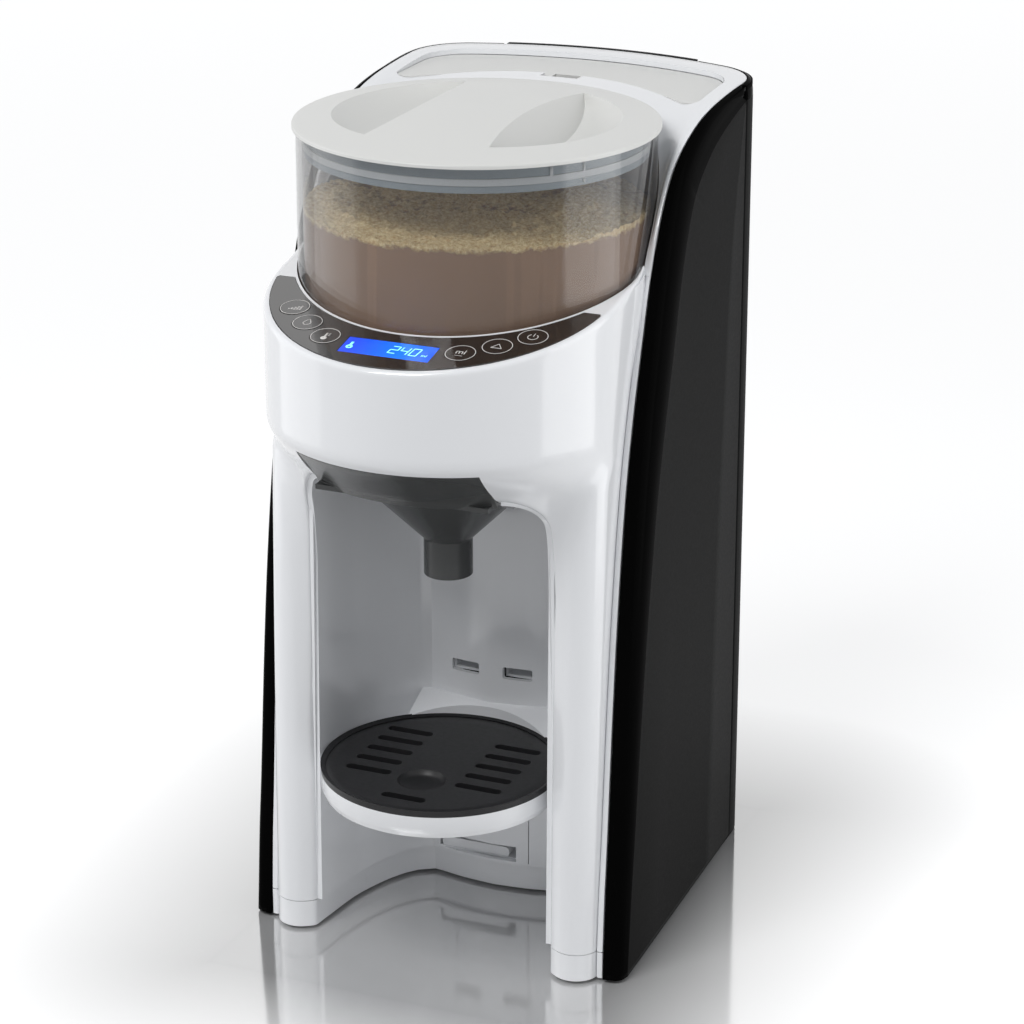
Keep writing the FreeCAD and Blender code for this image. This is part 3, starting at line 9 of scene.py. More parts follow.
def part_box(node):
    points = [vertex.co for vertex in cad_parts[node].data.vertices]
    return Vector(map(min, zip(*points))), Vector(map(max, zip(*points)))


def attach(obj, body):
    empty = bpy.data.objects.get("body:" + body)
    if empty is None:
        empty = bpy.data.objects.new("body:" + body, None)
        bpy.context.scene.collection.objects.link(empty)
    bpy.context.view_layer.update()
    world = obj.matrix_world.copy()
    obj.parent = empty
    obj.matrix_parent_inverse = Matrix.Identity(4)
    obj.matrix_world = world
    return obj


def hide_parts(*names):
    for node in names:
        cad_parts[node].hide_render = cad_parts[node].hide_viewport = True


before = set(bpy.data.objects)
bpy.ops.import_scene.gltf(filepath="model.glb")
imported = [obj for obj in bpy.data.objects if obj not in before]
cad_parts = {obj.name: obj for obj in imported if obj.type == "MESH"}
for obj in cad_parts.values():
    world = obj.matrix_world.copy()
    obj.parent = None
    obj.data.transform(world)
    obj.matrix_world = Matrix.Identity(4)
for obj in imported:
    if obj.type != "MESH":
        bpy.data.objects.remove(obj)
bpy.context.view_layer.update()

# ---------------------------------------------------------------- front housing
# One glossy white ABS shell: a half-round head above the bottle niche, swept back below to two slim
# columns, with a 3 mm strip along each flank and the deck at the back. It is drawn in millimetres
# about the powder container's axis, the right half first, and mirrored.


class Shade:
    """A number or colour that varies over a surface; arithmetic on it adds Math nodes."""

    def __init__(self, finish, socket):
        self.finish = finish
        self.socket = socket

    def math(self, operation, first, second):
        return self.finish.node("Math", {0: first, 1: second}, operation=operation)

    def __add__(self, other):
        return self.math("ADD", self, other)

    def __mul__(self, other):
        return self.math("MULTIPLY", self, other)

    def __sub__(self, other):
        return self.math("SUBTRACT", self, other)

    def __rsub__(self, other):
        return self.math("SUBTRACT", other, self)

    __radd__ = __add__
    __rmul__ = __mul__


class Finish:
    """One material: a Principled shader and the nodes that vary it."""

    def __init__(self, name, colour, roughness, **sockets):
        self.material = bpy.data.materials.new(name)
        self.material.use_nodes = True
        self.tree = self.material.node_tree
        self.shader = self.tree.nodes["Principled BSDF"]
        self.material.diffuse_color = (*colour, 1)
        self.put(Base_Color=colour, Roughness=roughness, **sockets)
        self.place = self.node("TexCoord", output="Object")

    def feed(self, socket, item):
        if isinstance(item, Shade):
            self.tree.links.new(item.socket, socket)
        elif isinstance(item, tuple) and socket.type == "RGBA" and len(item) == 3:
            socket.default_value = (*item, 1)
        else:
            socket.default_value = item

    def put(self, **items):
        for name, item in items.items():
            self.feed(self.shader.inputs[name.replace("_", " ")], item)

    def node(self, kind, inputs=(), output=0, **settings):
        made = self.tree.nodes.new("ShaderNode" + kind)
        for name, setting in settings.items():
            setattr(made, name, setting)
        for name, item in dict(inputs).items():
            self.feed(made.inputs[name], item)
        return Shade(self, made.outputs[output])

    def noise(self, scale, detail=2.0, rough=0.5):
        sizes = {"Scale": scale, "Detail": detail, "Roughness": rough}
        return self.node("TexNoise", {"Vector": self.place, **sizes})

    def between(self, factor, first, second):
        """One colour running into another."""
        return self.node("Mix", {0: factor, 6: first, 7: second}, output=2, data_type="RGBA")

    def ramp(self, shade, low, high):
        """0 below low, 1 above high, evenly between."""
        return self.node("MapRange", {"Value": shade, "From Min": low, "From Max": high})

    def rough_surface(self, height, depth, strength=1.0):
        self.put(Normal=self.node("Bump", {"Height": height, "Distance": depth, "Strength": strength}))

    def uneven(self, low, spread, scale, detail):
        """A roughness that wanders a little over the surface."""
        self.put(Roughness=low + self.noise(scale, detail) * spread)

    def grained(self, depth, strength, scale, detail):
        """A fine relief."""
        self.rough_surface(self.noise(scale, detail), depth, strength)


MM = 0.001
AXIS_Y = -20.55  # the container's axis, behind the middle of the machine
HEAD_HALF = 76.4
NOSE_Y = -30.5  # centre of the half-round front
FLANK_HALF = 79.2
DECK_TOP = 361.0
WELL_RADIUS = 75.95
PANEL_FRONT_Z = 284.0
PANEL_RADIUS, PANEL_INNER, PANEL_BACK = 74.0, 77.0, 41.3
PANEL_LEAN = math.radians(11.4)
SHOULDER = 2.3
NICHE_TOP = 222.0
NICHE_HALF = 56.0
NICHE_CORNER = 18.0
BASE_TOP = 14.0
SHELL_WALL = 2.4


def smooth_curve(points):
    """A smooth curve without overshoot through (place, value) points, as a function."""
    places = [p[0] for p in points]
    values = [p[1] for p in points]
    slopes = [(b[1] - a[1]) / (b[0] - a[0]) for a, b in zip(points, points[1:])]
    inner = [0.0 if a * b <= 0 else 2 * a * b / (a + b) for a, b in zip(slopes, slopes[1:])]
    tangents = [slopes[0]] + inner + [slopes[-1]]

    def value(x):
        x = min(max(x, places[0]), places[-1])
        i = min(bisect.bisect_right(places, x) - 1, len(places) - 2)
        width = places[i + 1] - places[i]
        t = (x - places[i]) / width
        rise = (2 * t**3 - 3 * t**2 + 1) * values[i] + (3 * t**2 - 2 * t**3) * values[i + 1]
        bend = (t**3 - 2 * t**2 + t) * tangents[i] + (t**3 - t**2) * tangents[i + 1]
        return rise + bend * width

    return value


# Step back of the head's front by the height below its upright part; the columns' front centre by
# height; the flank's joint with the black side, as (height, place) and as (place, height).
head_step = smooth_curve([(0, 0), (3, 0.5), (8, 3.8), (14, 9.6), (25, 21.5), (41, 29), (51, 32.5), (70, 36)])
column_y = smooth_curve([(0, -47.4), (100, -45.5), (200, -42.4), (250, -40.2)])
FLANK = [(0, -50.8), (14.7, -49.9), (40, -48.3), (61, -46.3), (118, -41.6), (160, -37.3), (214, -29.4)]
FLANK += [(246.7, -21.7), (276.4, -12.4), (300, -4.6), (324, 6.6), (341, 19.8), (351, 37.2), (357.2, 58)]
FLANK += [(359.6, 77.5), (360.7, 100), (361, 125)]
flank_y = smooth_curve(FLANK)
flank_z = smooth_curve([(y, z) for z, y in FLANK])
RISE = [(-18, 301.5), (-10, 303.6), (-2.7, 308), (3.2, 315), (11, 324.4), (21.6, 333.5), (33, 343.5)]
RISE += [(46, 351.5), (60, 356.8), (76, 359.8), (95, 361)]
rise_z = smooth_curve(RISE)


def panel_z(y):
    """Height of the sloping control face."""
    return PANEL_FRONT_Z + (y - NOSE_Y + PANEL_RADIUS) * math.tan(PANEL_LEAN)


def soft_min(a, b, reach):
    """The smaller of two numbers, with a fillet where they are within reach of each other."""
    h = min(max(0.5 + 0.5 * (b - a) / reach, 0.0), 1.0)
    return b + (a - b) * h - reach * h * (1 - h)


def in_plan(reach, angle, y=0.0):
    """A place in plan, at a reach and an angle from the front, about a centre on the middle line."""
    return Vector((reach * math.sin(angle), y - reach * math.cos(angle)))


def eased(t):
    t = min(max(t, 0.0), 1.0)
    return t * t * (3 - 2 * t)


def front_y(x, z):
    """The outside of the head and columns, ahead of the container's axis, at a place and height."""
    step = head_step(246 - z) if z < 246 else 0.0
    head = NOSE_Y + step - math.sqrt(max(HEAD_HALF**2 - x**2, 0.0))
    radius = 10.5
    centre = HEAD_HALF - radius
    if x < centre - radius:
        column = column_y(z) + (centre - radius - x) * 2.5
    else:
        column = column_y(z) - math.sqrt(max(radius**2 - (x - centre) ** 2, 0.0))
    fade = 1 - eased((z - 222) / 26)
    return head + (soft_min(head, column, 15) - head) * fade


def mapped(bm, across, along, place):
    """A grid of faces whose corners are moved to place(u, v), with u and v from 0 to 1."""
    for vert in bmesh.ops.create_grid(bm, x_segments=across, y_segments=along, size=0.5)["verts"]:
        vert.co = place(vert.co.x + 0.5, vert.co.y + 0.5)


def joined(bm, reach):
    """Makes one corner of those that lie within reach of each other."""
    bmesh.ops.remove_doubles(bm, verts=bm.verts, dist=reach)


WALL_ROWS, SHOULDER_ROWS, RING_ROWS = 46, 5, 5
ROWS = WALL_ROWS + SHOULDER_ROWS + RING_ROWS
JOINT_Y = -3.4  # where the side strip runs into the top


def top_z(y):
    """Height of the housing's top: the sloping face, then the rise beside the container."""
    return max(panel_z(y), rise_z(y) if y > RISE[0][0] else 0.0)


def rounding(x, y):
    """Radius of the shoulder at an outline point, less where the ring up to the container is narrow."""
    return min(SHOULDER, max((math.hypot(x, y) - WELL_RADIUS) * 0.6, 0.15))


def crown(x, y, out, row):
    """The rounded shoulder and the ring up to the container, above the outline point (x, y)."""
    round_off = rounding(x, y)
    top = top_z(y)
    if row <= SHOULDER_ROWS:
        turn = row / SHOULDER_ROWS * math.pi / 2
        inward = round_off * (1 - math.cos(turn))
        z = top - round_off + round_off * math.sin(turn)
        return Vector((x - out[0] * inward, y - out[1] * inward, z))
    start = Vector((x - out[0] * round_off, y - out[1] * round_off))
    angle = math.atan2(start.x, -start.y)
    end = in_plan(WELL_RADIUS, angle)
    spot = start.lerp(end, (row - SHOULDER_ROWS) / RING_ROWS)
    return Vector((spot.x, spot.y, top_z(spot.y)))


def shoulder_z(x, y):
    """Top of the upright wall, where the shoulder's rounding starts."""
    return panel_z(y) - rounding(x, y)


LIP = 4.5
LIP_SIDE = 1.2
FLAT_COLUMNS, CORNER_COLUMNS = 14, 14
ARCH_COLUMNS = FLAT_COLUMNS + CORNER_COLUMNS
SPLIT_Z = NICHE_TOP - NICHE_CORNER


def arch(column, grow=0.0):
    """Edge of the niche's opening, from the middle out and round the corner, as x and z."""
    flat = NICHE_HALF - NICHE_CORNER
    if column <= FLAT_COLUMNS:
        return flat * column / FLAT_COLUMNS, NICHE_TOP + grow * LIP
    turn = (column - FLAT_COLUMNS) / CORNER_COLUMNS * math.pi / 2
    reach = NICHE_CORNER + grow * (LIP_SIDE + (LIP - LIP_SIDE) * math.cos(turn) ** 2)
    return flat + reach * math.sin(turn), SPLIT_Z + reach * math.cos(turn)


def above_niche(u, v):
    x, low = arch(round(u * ARCH_COLUMNS), 1.0)
    row = round(v * ROWS)
    y_top = NOSE_Y - math.sqrt(HEAD_HALF**2 - x**2)
    if row > WALL_ROWS:
        return crown(x, y_top, (x / HEAD_HALF, (y_top - NOSE_Y) / HEAD_HALF), row - WALL_ROWS)
    z = low + (shoulder_z(x, y_top) - low) * row / WALL_ROWS
    return Vector((x, front_y(x, z), z))


ARC_COLUMNS, SIDE_COLUMNS = 20, 10
LOW_ROWS = 40


def beside_niche(u, v):
    """Column and side of the head: round front first, then straight back to the side strip."""
    column = round(u * (ARC_COLUMNS + SIDE_COLUMNS))
    row = round(v * (LOW_ROWS + ROWS)) - LOW_ROWS
    t = min(column / ARC_COLUMNS, 1.0)
    inner = NICHE_HALF + LIP_SIDE
    x = inner + (HEAD_HALF - inner) * (1 - math.cos(t * math.pi)) / 2
    back = max(column - ARC_COLUMNS, 0) / SIDE_COLUMNS
    y_top = NOSE_Y - math.sqrt(max(HEAD_HALF**2 - x**2, 0.0)) + back * (JOINT_Y - NOSE_Y)
    out = (x / HEAD_HALF, (y_top - NOSE_Y) / HEAD_HALF) if back == 0 else (1.0, 0.0)
    if row > WALL_ROWS:
        return crown(x, y_top, out, row - WALL_ROWS)
    if row <= 0:
        z = BASE_TOP + (SPLIT_Z - BASE_TOP) * (row + LOW_ROWS) / LOW_ROWS
    else:
        z = SPLIT_Z + (shoulder_z(x, y_top) - SPLIT_Z) * row / WALL_ROWS
    y = front_y(x, z)
    groove = min(flank_y(z), JOINT_Y) + 1.0
    if back > 0:
        start = front_y(HEAD_HALF, z)
        y = start + (groove - start) * back if groove > start else start
        return Vector((HEAD_HALF, max(y, min(start, groove)), z))
    return Vector((x, y, z))


def side_strip(u, v):
    """The narrow strip ahead of the black side panel, with a groove behind it and its flange."""
    z = BASE_TOP + (flank_z(JOINT_Y) - BASE_TOP) * v
    y = flank_y(z)
    x, back = [(HEAD_HALF, 1.0), (HEAD_HALF + 0.1, 0.35), (HEAD_HALF + 0.5, 0.0), (FLANK_HALF - 0.7, 0.0),
               (FLANK_HALF - 0.15, 0.2), (FLANK_HALF, 0.8), (FLANK_HALF, 24.0)][round(u * 6)]
    return Vector((x, y + back, z))


TUNNEL_END = 19.3


def opening(u, grow):
    """A point on the edge of the niche's opening: up the column's inner side, then over the arch."""
    step = round(u * (LOW_ROWS + ARCH_COLUMNS))
    if step <= LOW_ROWS:
        x, z = NICHE_HALF + grow * LIP_SIDE, BASE_TOP + (SPLIT_Z - BASE_TOP) * step / LOW_ROWS
    else:
        x, z = arch(LOW_ROWS + ARCH_COLUMNS - step, grow)
    return Vector((x, front_y(x, z), z))


def behind_lip(u):
    """Where the rounded rim of the opening runs into the lining."""
    edge = opening(u, 0.0)
    rise = eased((edge.z - SPLIT_Z) / NICHE_CORNER)
    return edge + Vector((0, LIP_SIDE + (LIP - LIP_SIDE) * rise, 0))


def lip(u, v):
    bend = [(opening(u, 1.0), (1 - v) ** 2), (opening(u, 0.0), 2 * v * (1 - v)), (behind_lip(u), v**2)]
    return sum((point * share for point, share in bend), Vector())


REAR_Y = 145.1
REAR_BOW = 177.0
REAR_CORNER = 28.0
BOW_Y = REAR_Y - REAR_BOW
ROUND_X = FLANK_HALF - REAR_CORNER  # centre of the rear corner's rounding
ROUND_Y = BOW_Y + math.sqrt((REAR_BOW - REAR_CORNER) ** 2 - ROUND_X**2)
BOW_SWEEP = math.atan2(ROUND_X, ROUND_Y - BOW_Y)
STRAIGHT_RUN, ROUND_RUN, BOW_RUN = DECK_RUNS = [
    ROUND_Y - JOINT_Y, (math.pi / 2 - BOW_SWEEP) * REAR_CORNER, BOW_SWEEP * REAR_BOW]


def deck_outline(t):
    """Edge of the deck from the strip's joint round to the middle of the back, in plan."""
    along = t * sum(DECK_RUNS)
    if along <= STRAIGHT_RUN:
        return Vector((FLANK_HALF, JOINT_Y + along))
    if along <= STRAIGHT_RUN + ROUND_RUN:
        angle = (along - STRAIGHT_RUN) / REAR_CORNER
        return Vector((ROUND_X + REAR_CORNER * math.cos(angle), ROUND_Y + REAR_CORNER * math.sin(angle)))
    angle = BOW_SWEEP * (1 - (along - STRAIGHT_RUN - ROUND_RUN) / BOW_RUN)
    return Vector((REAR_BOW * math.sin(angle), BOW_Y + REAR_BOW * math.cos(angle)))


DECK_STEPS = 16


def deck(u, v):
    """The deck and the ribbon beside the container, from the outer edge in to the well."""
    edge = deck_outline(v)
    angle = math.atan2(edge.x, -edge.y)
    inner = in_plan(WELL_RADIUS, angle)
    step = round(u * DECK_STEPS)
    height = flank_z(edge.y)
    if step == 0:
        return Vector((edge.x, edge.y, height - 14))
    if step == 1:
        return Vector((edge.x, edge.y, height - 0.9))
    inward = (inner - edge).normalized()
    near = edge + inward * 0.9
    if step == 2:
        return Vector((*(edge + inward * 0.26), height - 0.26))
    share = (step - 3) / (DECK_STEPS - 3)
    spot = near.lerp(inner, share)
    low = rise_z(inner.y)
    high = flank_z(spot.y)
    drop = (high - low) * eased((share - 0.15) / 0.85)
    return Vector((spot.x, spot.y, high - max(drop, 0.0)))


def settle(bm):
    """Moves a mesh drawn about the container's axis in millimetres into the frame, in metres."""
    bmesh.ops.translate(bm, verts=bm.verts, vec=(0, AXIS_Y, 0))
    bmesh.ops.scale(bm, verts=bm.verts, vec=(MM, MM, MM))


def mirror_half(bm):
    """Completes a right half: mirrors it in X and joins the middle."""
    bmesh.ops.mirror(bm, geom=bm.verts[:] + bm.edges[:] + bm.faces[:], axis="X", merge_dist=0.002)


def shade_smooth(bm, sharp):
    """Smooth faces, with the edges kept sharp past an angle."""
    for face in bm.faces:
        face.smooth = True
    for edge in bm.edges:
        edge.smooth = len(edge.link_faces) != 2 or edge.calc_face_angle(0) < math.radians(sharp)


def made_object(name, bm, sharp=40):
    shade_smooth(bm, sharp)
    mesh = bpy.data.meshes.new(name)
    bm.to_mesh(mesh)
    bm.free()
    piece = bpy.data.objects.new(name, mesh)
    bpy.context.scene.collection.objects.link(piece)
    return piece


def modifier(piece, kind, **settings):
    made = piece.modifiers.new(kind.title(), kind)
    for name, value in settings.items():
        setattr(made, name, value)


def thickened(piece, wall, offset=-1):
    """A wall on a surface, in millimetres: behind it, or in front with offset 1."""
    modifier(piece, "SOLIDIFY", thickness=wall * MM, offset=offset)


def rounded(piece, width, segments, sharp):
    """Edges past an angle broken by a small bevel, in millimetres."""
    modifier(piece, "BEVEL", width=width * MM, segments=segments, limit_method="ANGLE",
             angle_limit=math.radians(sharp), harden_normals=True)


def drawn(name, bm, sharp=40):
    """An object from a mesh drawn in millimetres about the container's axis, its faces outwards."""
    bmesh.ops.recalc_face_normals(bm, faces=bm.faces)
    settle(bm)
    return made_object(name, bm, sharp)


def painted(piece, finish):
    """Gives a piece one finish all over."""
    piece.data.materials.clear()
    piece.data.materials.append(finish.material)


def block(bm, middle, size):
    """Adds a box to a mesh and gives its corners."""
    return bmesh.ops.create_cube(bm, size=1, matrix=Matrix.LocRotScale(middle, None, size))["verts"]


def round_off_edges(bm, edges, reach, segments=5):
    bmesh.ops.bevel(bm, geom=edges, offset=reach, segments=segments, affect="EDGES", profile=0.5,
                    material=-1)


def cad_mesh(node):
    """A CAD node's mesh to work on, with its corners joined."""
    bm = bmesh.new()
    bm.from_mesh(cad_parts[node].data)
    joined(bm, 0.00002)
    return bm


def cutter_block(low, high):
    """A box to cut with, between two corners in millimetres about the container's axis."""
    bm = bmesh.new()
    block(bm, [(a + b) / 2 for a, b in zip(low, high)], [b - a for a, b in zip(low, high)])
    settle(bm)
    return made_object("cutter", bm)


TANK_LID_GAP = 0.3


def tank_cutter():
    """A cutter for the tank's opening in the deck, from the tank lid's own outline."""
    bm = cad_mesh("tank_lid")
    low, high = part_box("tank_lid")
    middle = (low + high) / 2
    grow = Matrix.Diagonal((1 + TANK_LID_GAP / 71, 1 + TANK_LID_GAP / 31, 12, 1))
    grow = Matrix.Translation(middle) @ grow @ Matrix.Translation(-middle)
    bmesh.ops.transform(bm, matrix=grow, verts=bm.verts)
    return made_object("cutter", bm)


def only_verts(items):
    return [item for item in items if isinstance(item, bmesh.types.BMVert)]


def crescent_block(name, grow, low, high):
    """A block over the control panel's outline, between two depths from its face."""
    bm = bmesh.new()
    outer, inner, back = PANEL_RADIUS + grow, PANEL_INNER - grow, PANEL_BACK - grow
    sweep_out = math.acos((back + NOSE_Y) / outer)
    sweep_in = math.acos(back / inner)

    def place(u, v):
        a, b = sweep_out * (2 * u - 1), sweep_in * (2 * u - 1)
        spot = in_plan(outer, a, NOSE_Y).lerp(in_plan(inner, b), v)
        return Vector((spot.x, spot.y, panel_z(spot.y) + low))

    mapped(bm, 96, 6, place)
    raised = bmesh.ops.extrude_face_region(bm, geom=bm.faces[:])["geom"]
    bmesh.ops.translate(bm, verts=only_verts(raised), vec=(0, 0, high - low))
    bmesh.ops.recalc_face_normals(bm, faces=bm.faces)
    upright = [e for e in bm.edges if abs((e.verts[0].co - e.verts[1].co).z) > 0.9 * (high - low)]
    ends = [e for e in upright if e.calc_face_angle(0) > 1]
    round_off_edges(bm, ends, 2.6)
    settle(bm)
    return made_object(name, bm)


def carved(piece, cutters, solver="EXACT"):
    """Cuts other meshes out of a piece for good and throws them away."""
    for cutter in cutters:
        modifier(piece, "BOOLEAN", operation="DIFFERENCE", solver=solver, object=cutter)
    graph = bpy.context.evaluated_depsgraph_get()
    mesh = bpy.data.meshes.new_from_object(piece.evaluated_get(graph))
    piece.modifiers.clear()
    bm = bmesh.new()
    bm.from_mesh(mesh)
    joined(bm, 0.00001)
    shade_smooth(bm, 40)
    bm.to_mesh(mesh)
    bm.free()
    piece.data = mesh
    for cutter in cutters:
        bpy.data.objects.remove(cutter)


gloss_white = Finish("gloss_white", (0.83, 0.84, 0.86), 0.16, Coat_Weight=0.35, Coat_Roughness=0.06)
gloss_white.uneven(0.12, 0.08, 9, 3)
gloss_white.grained(0.0004, 0.05, 55, 2)

bm = bmesh.new()
mapped(bm, ARCH_COLUMNS, ROWS, above_niche)
mapped(bm, ARC_COLUMNS + SIDE_COLUMNS, LOW_ROWS + ROWS, beside_niche)
mapped(bm, LOW_ROWS + ARCH_COLUMNS, 5, lip)
mapped(bm, 6, 60, side_strip)
mapped(bm, DECK_STEPS, 90, deck)
joined(bm, 0.004)
mirror_half(bm)
joined(bm, 0.004)
# The wall of the container's well hangs from the ring's inner edge.
rims = [e for e in bm.edges if e.is_boundary]
rims = [e for e in rims if all(abs(v.co.xy.length - WELL_RADIUS) < 0.2 for v in e.verts)]
for vert in only_verts(bmesh.ops.extrude_edge_only(bm, edges=rims)["geom"]):
    vert.co.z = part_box("well_floor")[0].z / MM
housing = drawn("front_housing_shell", bm, 50)
thickened(housing, SHELL_WALL)
plate_gap = cutter_block((-40.8, -115, 190), (40.8, -55, 239.3))
notch = cutter_block((-9, 90, 340), (9, 106, 370))
carved(housing, [tank_cutter(), notch, plate_gap, crescent_block("cutter", 0.0, -2.3, 9.0)])
painted(housing, gloss_white)
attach(housing, "housing")
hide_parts("front_housing")

# ---------------------------------------------------------------- niche lining
# The moulded white lining of the bottle niche: side walls that draw in to a back wall bowed forwards,
# and a flat ceiling with round corners. It clips in behind the rim of the front housing.

inner_wall = smooth_curve([(-51, 56.0), (-42.3, 55), (-21.8, 52.7), (-5.3, 48.2), (8.3, 42.2), (14, 38.0),
                           (17.6, 34.6), (TUNNEL_END, 30.5)])
BACK_HALF = 31
back_wall = smooth_curve([(0, 15), (15, 16.4), (26, 18.6), (BACK_HALF, TUNNEL_END)])


def tunnel(u, v):
    """Side wall and ceiling, from the rim back to the corner of the back wall."""
    start = behind_lip(u)
    y = start.y + (TUNNEL_END - start.y) * v
    drawn_in = (NICHE_HALF - inner_wall(y)) * min(start.x / (NICHE_HALF - NICHE_CORNER), 1.0)
    return Vector((start.x - drawn_in, y, start.z))


def niche_back(u, v):
    x = BACK_HALF * u
    return Vector((x, back_wall(x), BASE_TOP + (NICHE_TOP + 1 - BASE_TOP) * v))


HOOK_X = 12.5
HOOK_Z, HOOK_PITCH = 81.5, 26.0  # the middle one of three levels, and the step between them
HOOK_PLACES = [(side * HOOK_X, HOOK_Z + level * HOOK_PITCH) for level in (-1, 0, 1) for side in (-1, 1)]
SEAM_X, SEAM_TOP, SEAM_HALF = 17.8, 72.0, 0.2


def hook_slot(x, z):
    """A cutter for one of the slots that the drip tray hangs in."""
    bm = bmesh.new()
    block(bm, (x, 22, z), (13.6, 24, 5.6))
    round_off_edges(bm, bm.edges[:], 0.8, 2)
    settle(bm)
    return made_object("slot_cutter", bm)


bm = bmesh.new()
mapped(bm, LOW_ROWS + ARCH_COLUMNS, 30, tunnel)
mapped(bm, 12, 20, niche_back)
joined(bm, 0.004)
mirror_half(bm)
lining = drawn("niche_lining", bm, 50)
thickened(lining, SHELL_WALL)
recess = cutter_block((-27, 10, 15.4), (12, 34, 22.8))
seams = [cutter_block((x - SEAM_HALF, 14, 15), (x + SEAM_HALF, 17.8, SEAM_TOP)) for x in (-SEAM_X, SEAM_X)]
carved(lining, [hook_slot(*place) for place in HOOK_PLACES] + seams + [recess])
painted(lining, gloss_white)
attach(lining, "housing")
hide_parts("niche_liner")

# Each slot opens into a closed pocket behind the wall, and the low recess into a wider one with a lug.
bm = bmesh.new()
for x, z in HOOK_PLACES:
    block(bm, (x, 21.6, z), (14.2, 8.0, 6.2))
block(bm, (-7.5, 20.1, 19.1), (40, 8.0, 8.0))
fronts = [f for f in bm.faces if f.calc_center_median().y < 18]
bmesh.ops.delete(bm, geom=fronts, context="FACES")
bmesh.ops.solidify(bm, geom=bm.faces[:], thickness=1.0)
lug = block(bm, (-9, 18.2, 18.0), (33, 3.6, 5.0))
ends = [e for e in bm.edges if e.verts[0] in lug and abs(e.verts[0].co.y - e.verts[1].co.y) > 1]
round_off_edges(bm, ends, 2.2)
pockets = drawn("hook_pockets", bm)
painted(pockets, gloss_white)
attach(pockets, "housing")

# ---------------------------------------------------------------- base tray and feet
# The white skirt under the shells, one shallow moulding with the floor of the machine in it, parted from
# the housing by a thin joint line. It stands on four low rubber feet.


def copied(node, name, finish, body, bevel=0.0, sharp=35):
    """A merged and smoothed copy of a CAD node, with its edges broken by a small bevel."""
    bm = cad_mesh(node)
    bmesh.ops.dissolve_degenerate(bm, edges=bm.edges, dist=0.00002)
    piece = made_object(name, bm, sharp)
    if bevel:
        rounded(piece, bevel, 2, sharp)
    painted(piece, finish)
    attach(piece, body)
    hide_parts(node)


FLOOR_GAP = 1.5
JOINT = 0.35
# The skirt's outline in plan, from the middle of the niche's back wall round to the middle of the rear.
skirt = [Vector((BACK_HALF * i / 8, back_wall(BACK_HALF * i / 8))) for i in range(8)]
skirt += [tunnel(0, 1 - i / 16).xy for i in range(16)] + [lip(0, 1 - i / 5).xy for i in range(5)]
skirt += [beside_niche(i / 30, 0).xy for i in range(31)]
skirt += [side_strip(i / 6, 0).xy for i in range(1, 7)]
skirt += [deck_outline(i / 40) * 0.985 for i in range(2, 41)]


def base_wall(u, v):
    """The skirt's upright wall, in plan the same as the shells above it."""
    spot = skirt[round(u * (len(skirt) - 1))]
    return Vector((spot.x, spot.y, BASE_TOP - JOINT + (FLOOR_GAP - BASE_TOP + JOINT) * v))


bm = bmesh.new()
mapped(bm, len(skirt) - 1, 2, base_wall)
mirror_half(bm)
joined(bm, 0.004)
sole = [e for e in bm.edges if e.is_boundary and e.verts[0].co.z < FLOOR_GAP + 0.1]
bmesh.ops.triangle_fill(bm, edges=sole, use_beauty=True)
base = drawn("base_skirt", bm, 30)
thickened(base, SHELL_WALL)
rounded(base, 0.45, 2, 50)
painted(base, gloss_white)
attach(base, "housing")
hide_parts("base_tray")

rubber_black = Finish("rubber_black", (0.02, 0.02, 0.021), 0.75)
rubber_black.grained(0.0002, 0.4, 1500, 3)
copied("rubber_feet", "feet", rubber_black, "housing", 0.25)

# ---------------------------------------------------------------- black side panels
# Each side is one black shell that wraps the flank, the shoulder and the rear corner. A polished band
# runs along its S-shaped front edge, rounds over, and meets the satin flank at a thin crease.

SIDE_FRONT = 88.5
SIDE_TAPER = 6.2 / 140
# Outwards from the white joint and down into the panel, as shares of the rim's width and depth.
RIM = [(0.0, 0.9), (0.02, 0.1), (0.06, 0.0), (0.3, 0.02), (0.54, 0.07), (0.68, 0.14), (0.8, 0.25),
       (0.89, 0.4), (0.95, 0.58), (0.985, 0.78), (1.0, 1.0)]
RIM_DEPTH, RIM_WIDTH = 10.8, 9.0
PANEL_EDGE = FLANK_HALF + 0.1
# The rim widens from the floor up to the shoulder.
band_width = smooth_curve([(0, 0.6), (90, 1.0), (200, 1.7), (280, 2.3), (361, 2.5)])
BODY_ROWS, CORNER_ROWS = 150, 40
SIDE_STEPS, REAR_STEPS = 4, 6  # down the satin flank and the rear corner
CORNER_Y = 104.0
GLOSS_END = 10  # this many of the rim's steps are polished


def edge_point(share):
    """A point on the panel's front and top edge, from the floor up and back to the rear corner."""
    lengths = [0.0]
    points = [Vector((flank_y(z), z)) for z in EDGE_Z]
    points += [Vector((y, flank_z(y))) for y in EDGE_Y]
    for a, b in zip(points, points[1:]):
        lengths.append(lengths[-1] + (b - a).length)
    along = share * lengths[-1]
    i = min(bisect.bisect_right(lengths, along) - 1, len(points) - 2)
    spot = points[i].lerp(points[i + 1], (along - lengths[i]) / (lengths[i + 1] - lengths[i]))
    return spot, (points[i + 1] - points[i]).normalized()


EDGE_Z = [FLOOR_GAP + 4 * i for i in range(86)]
EDGE_Y = [22 + 2 * i for i in range(42)]


def side_x(y):
    return SIDE_FRONT - SIDE_TAPER * (y + 40)


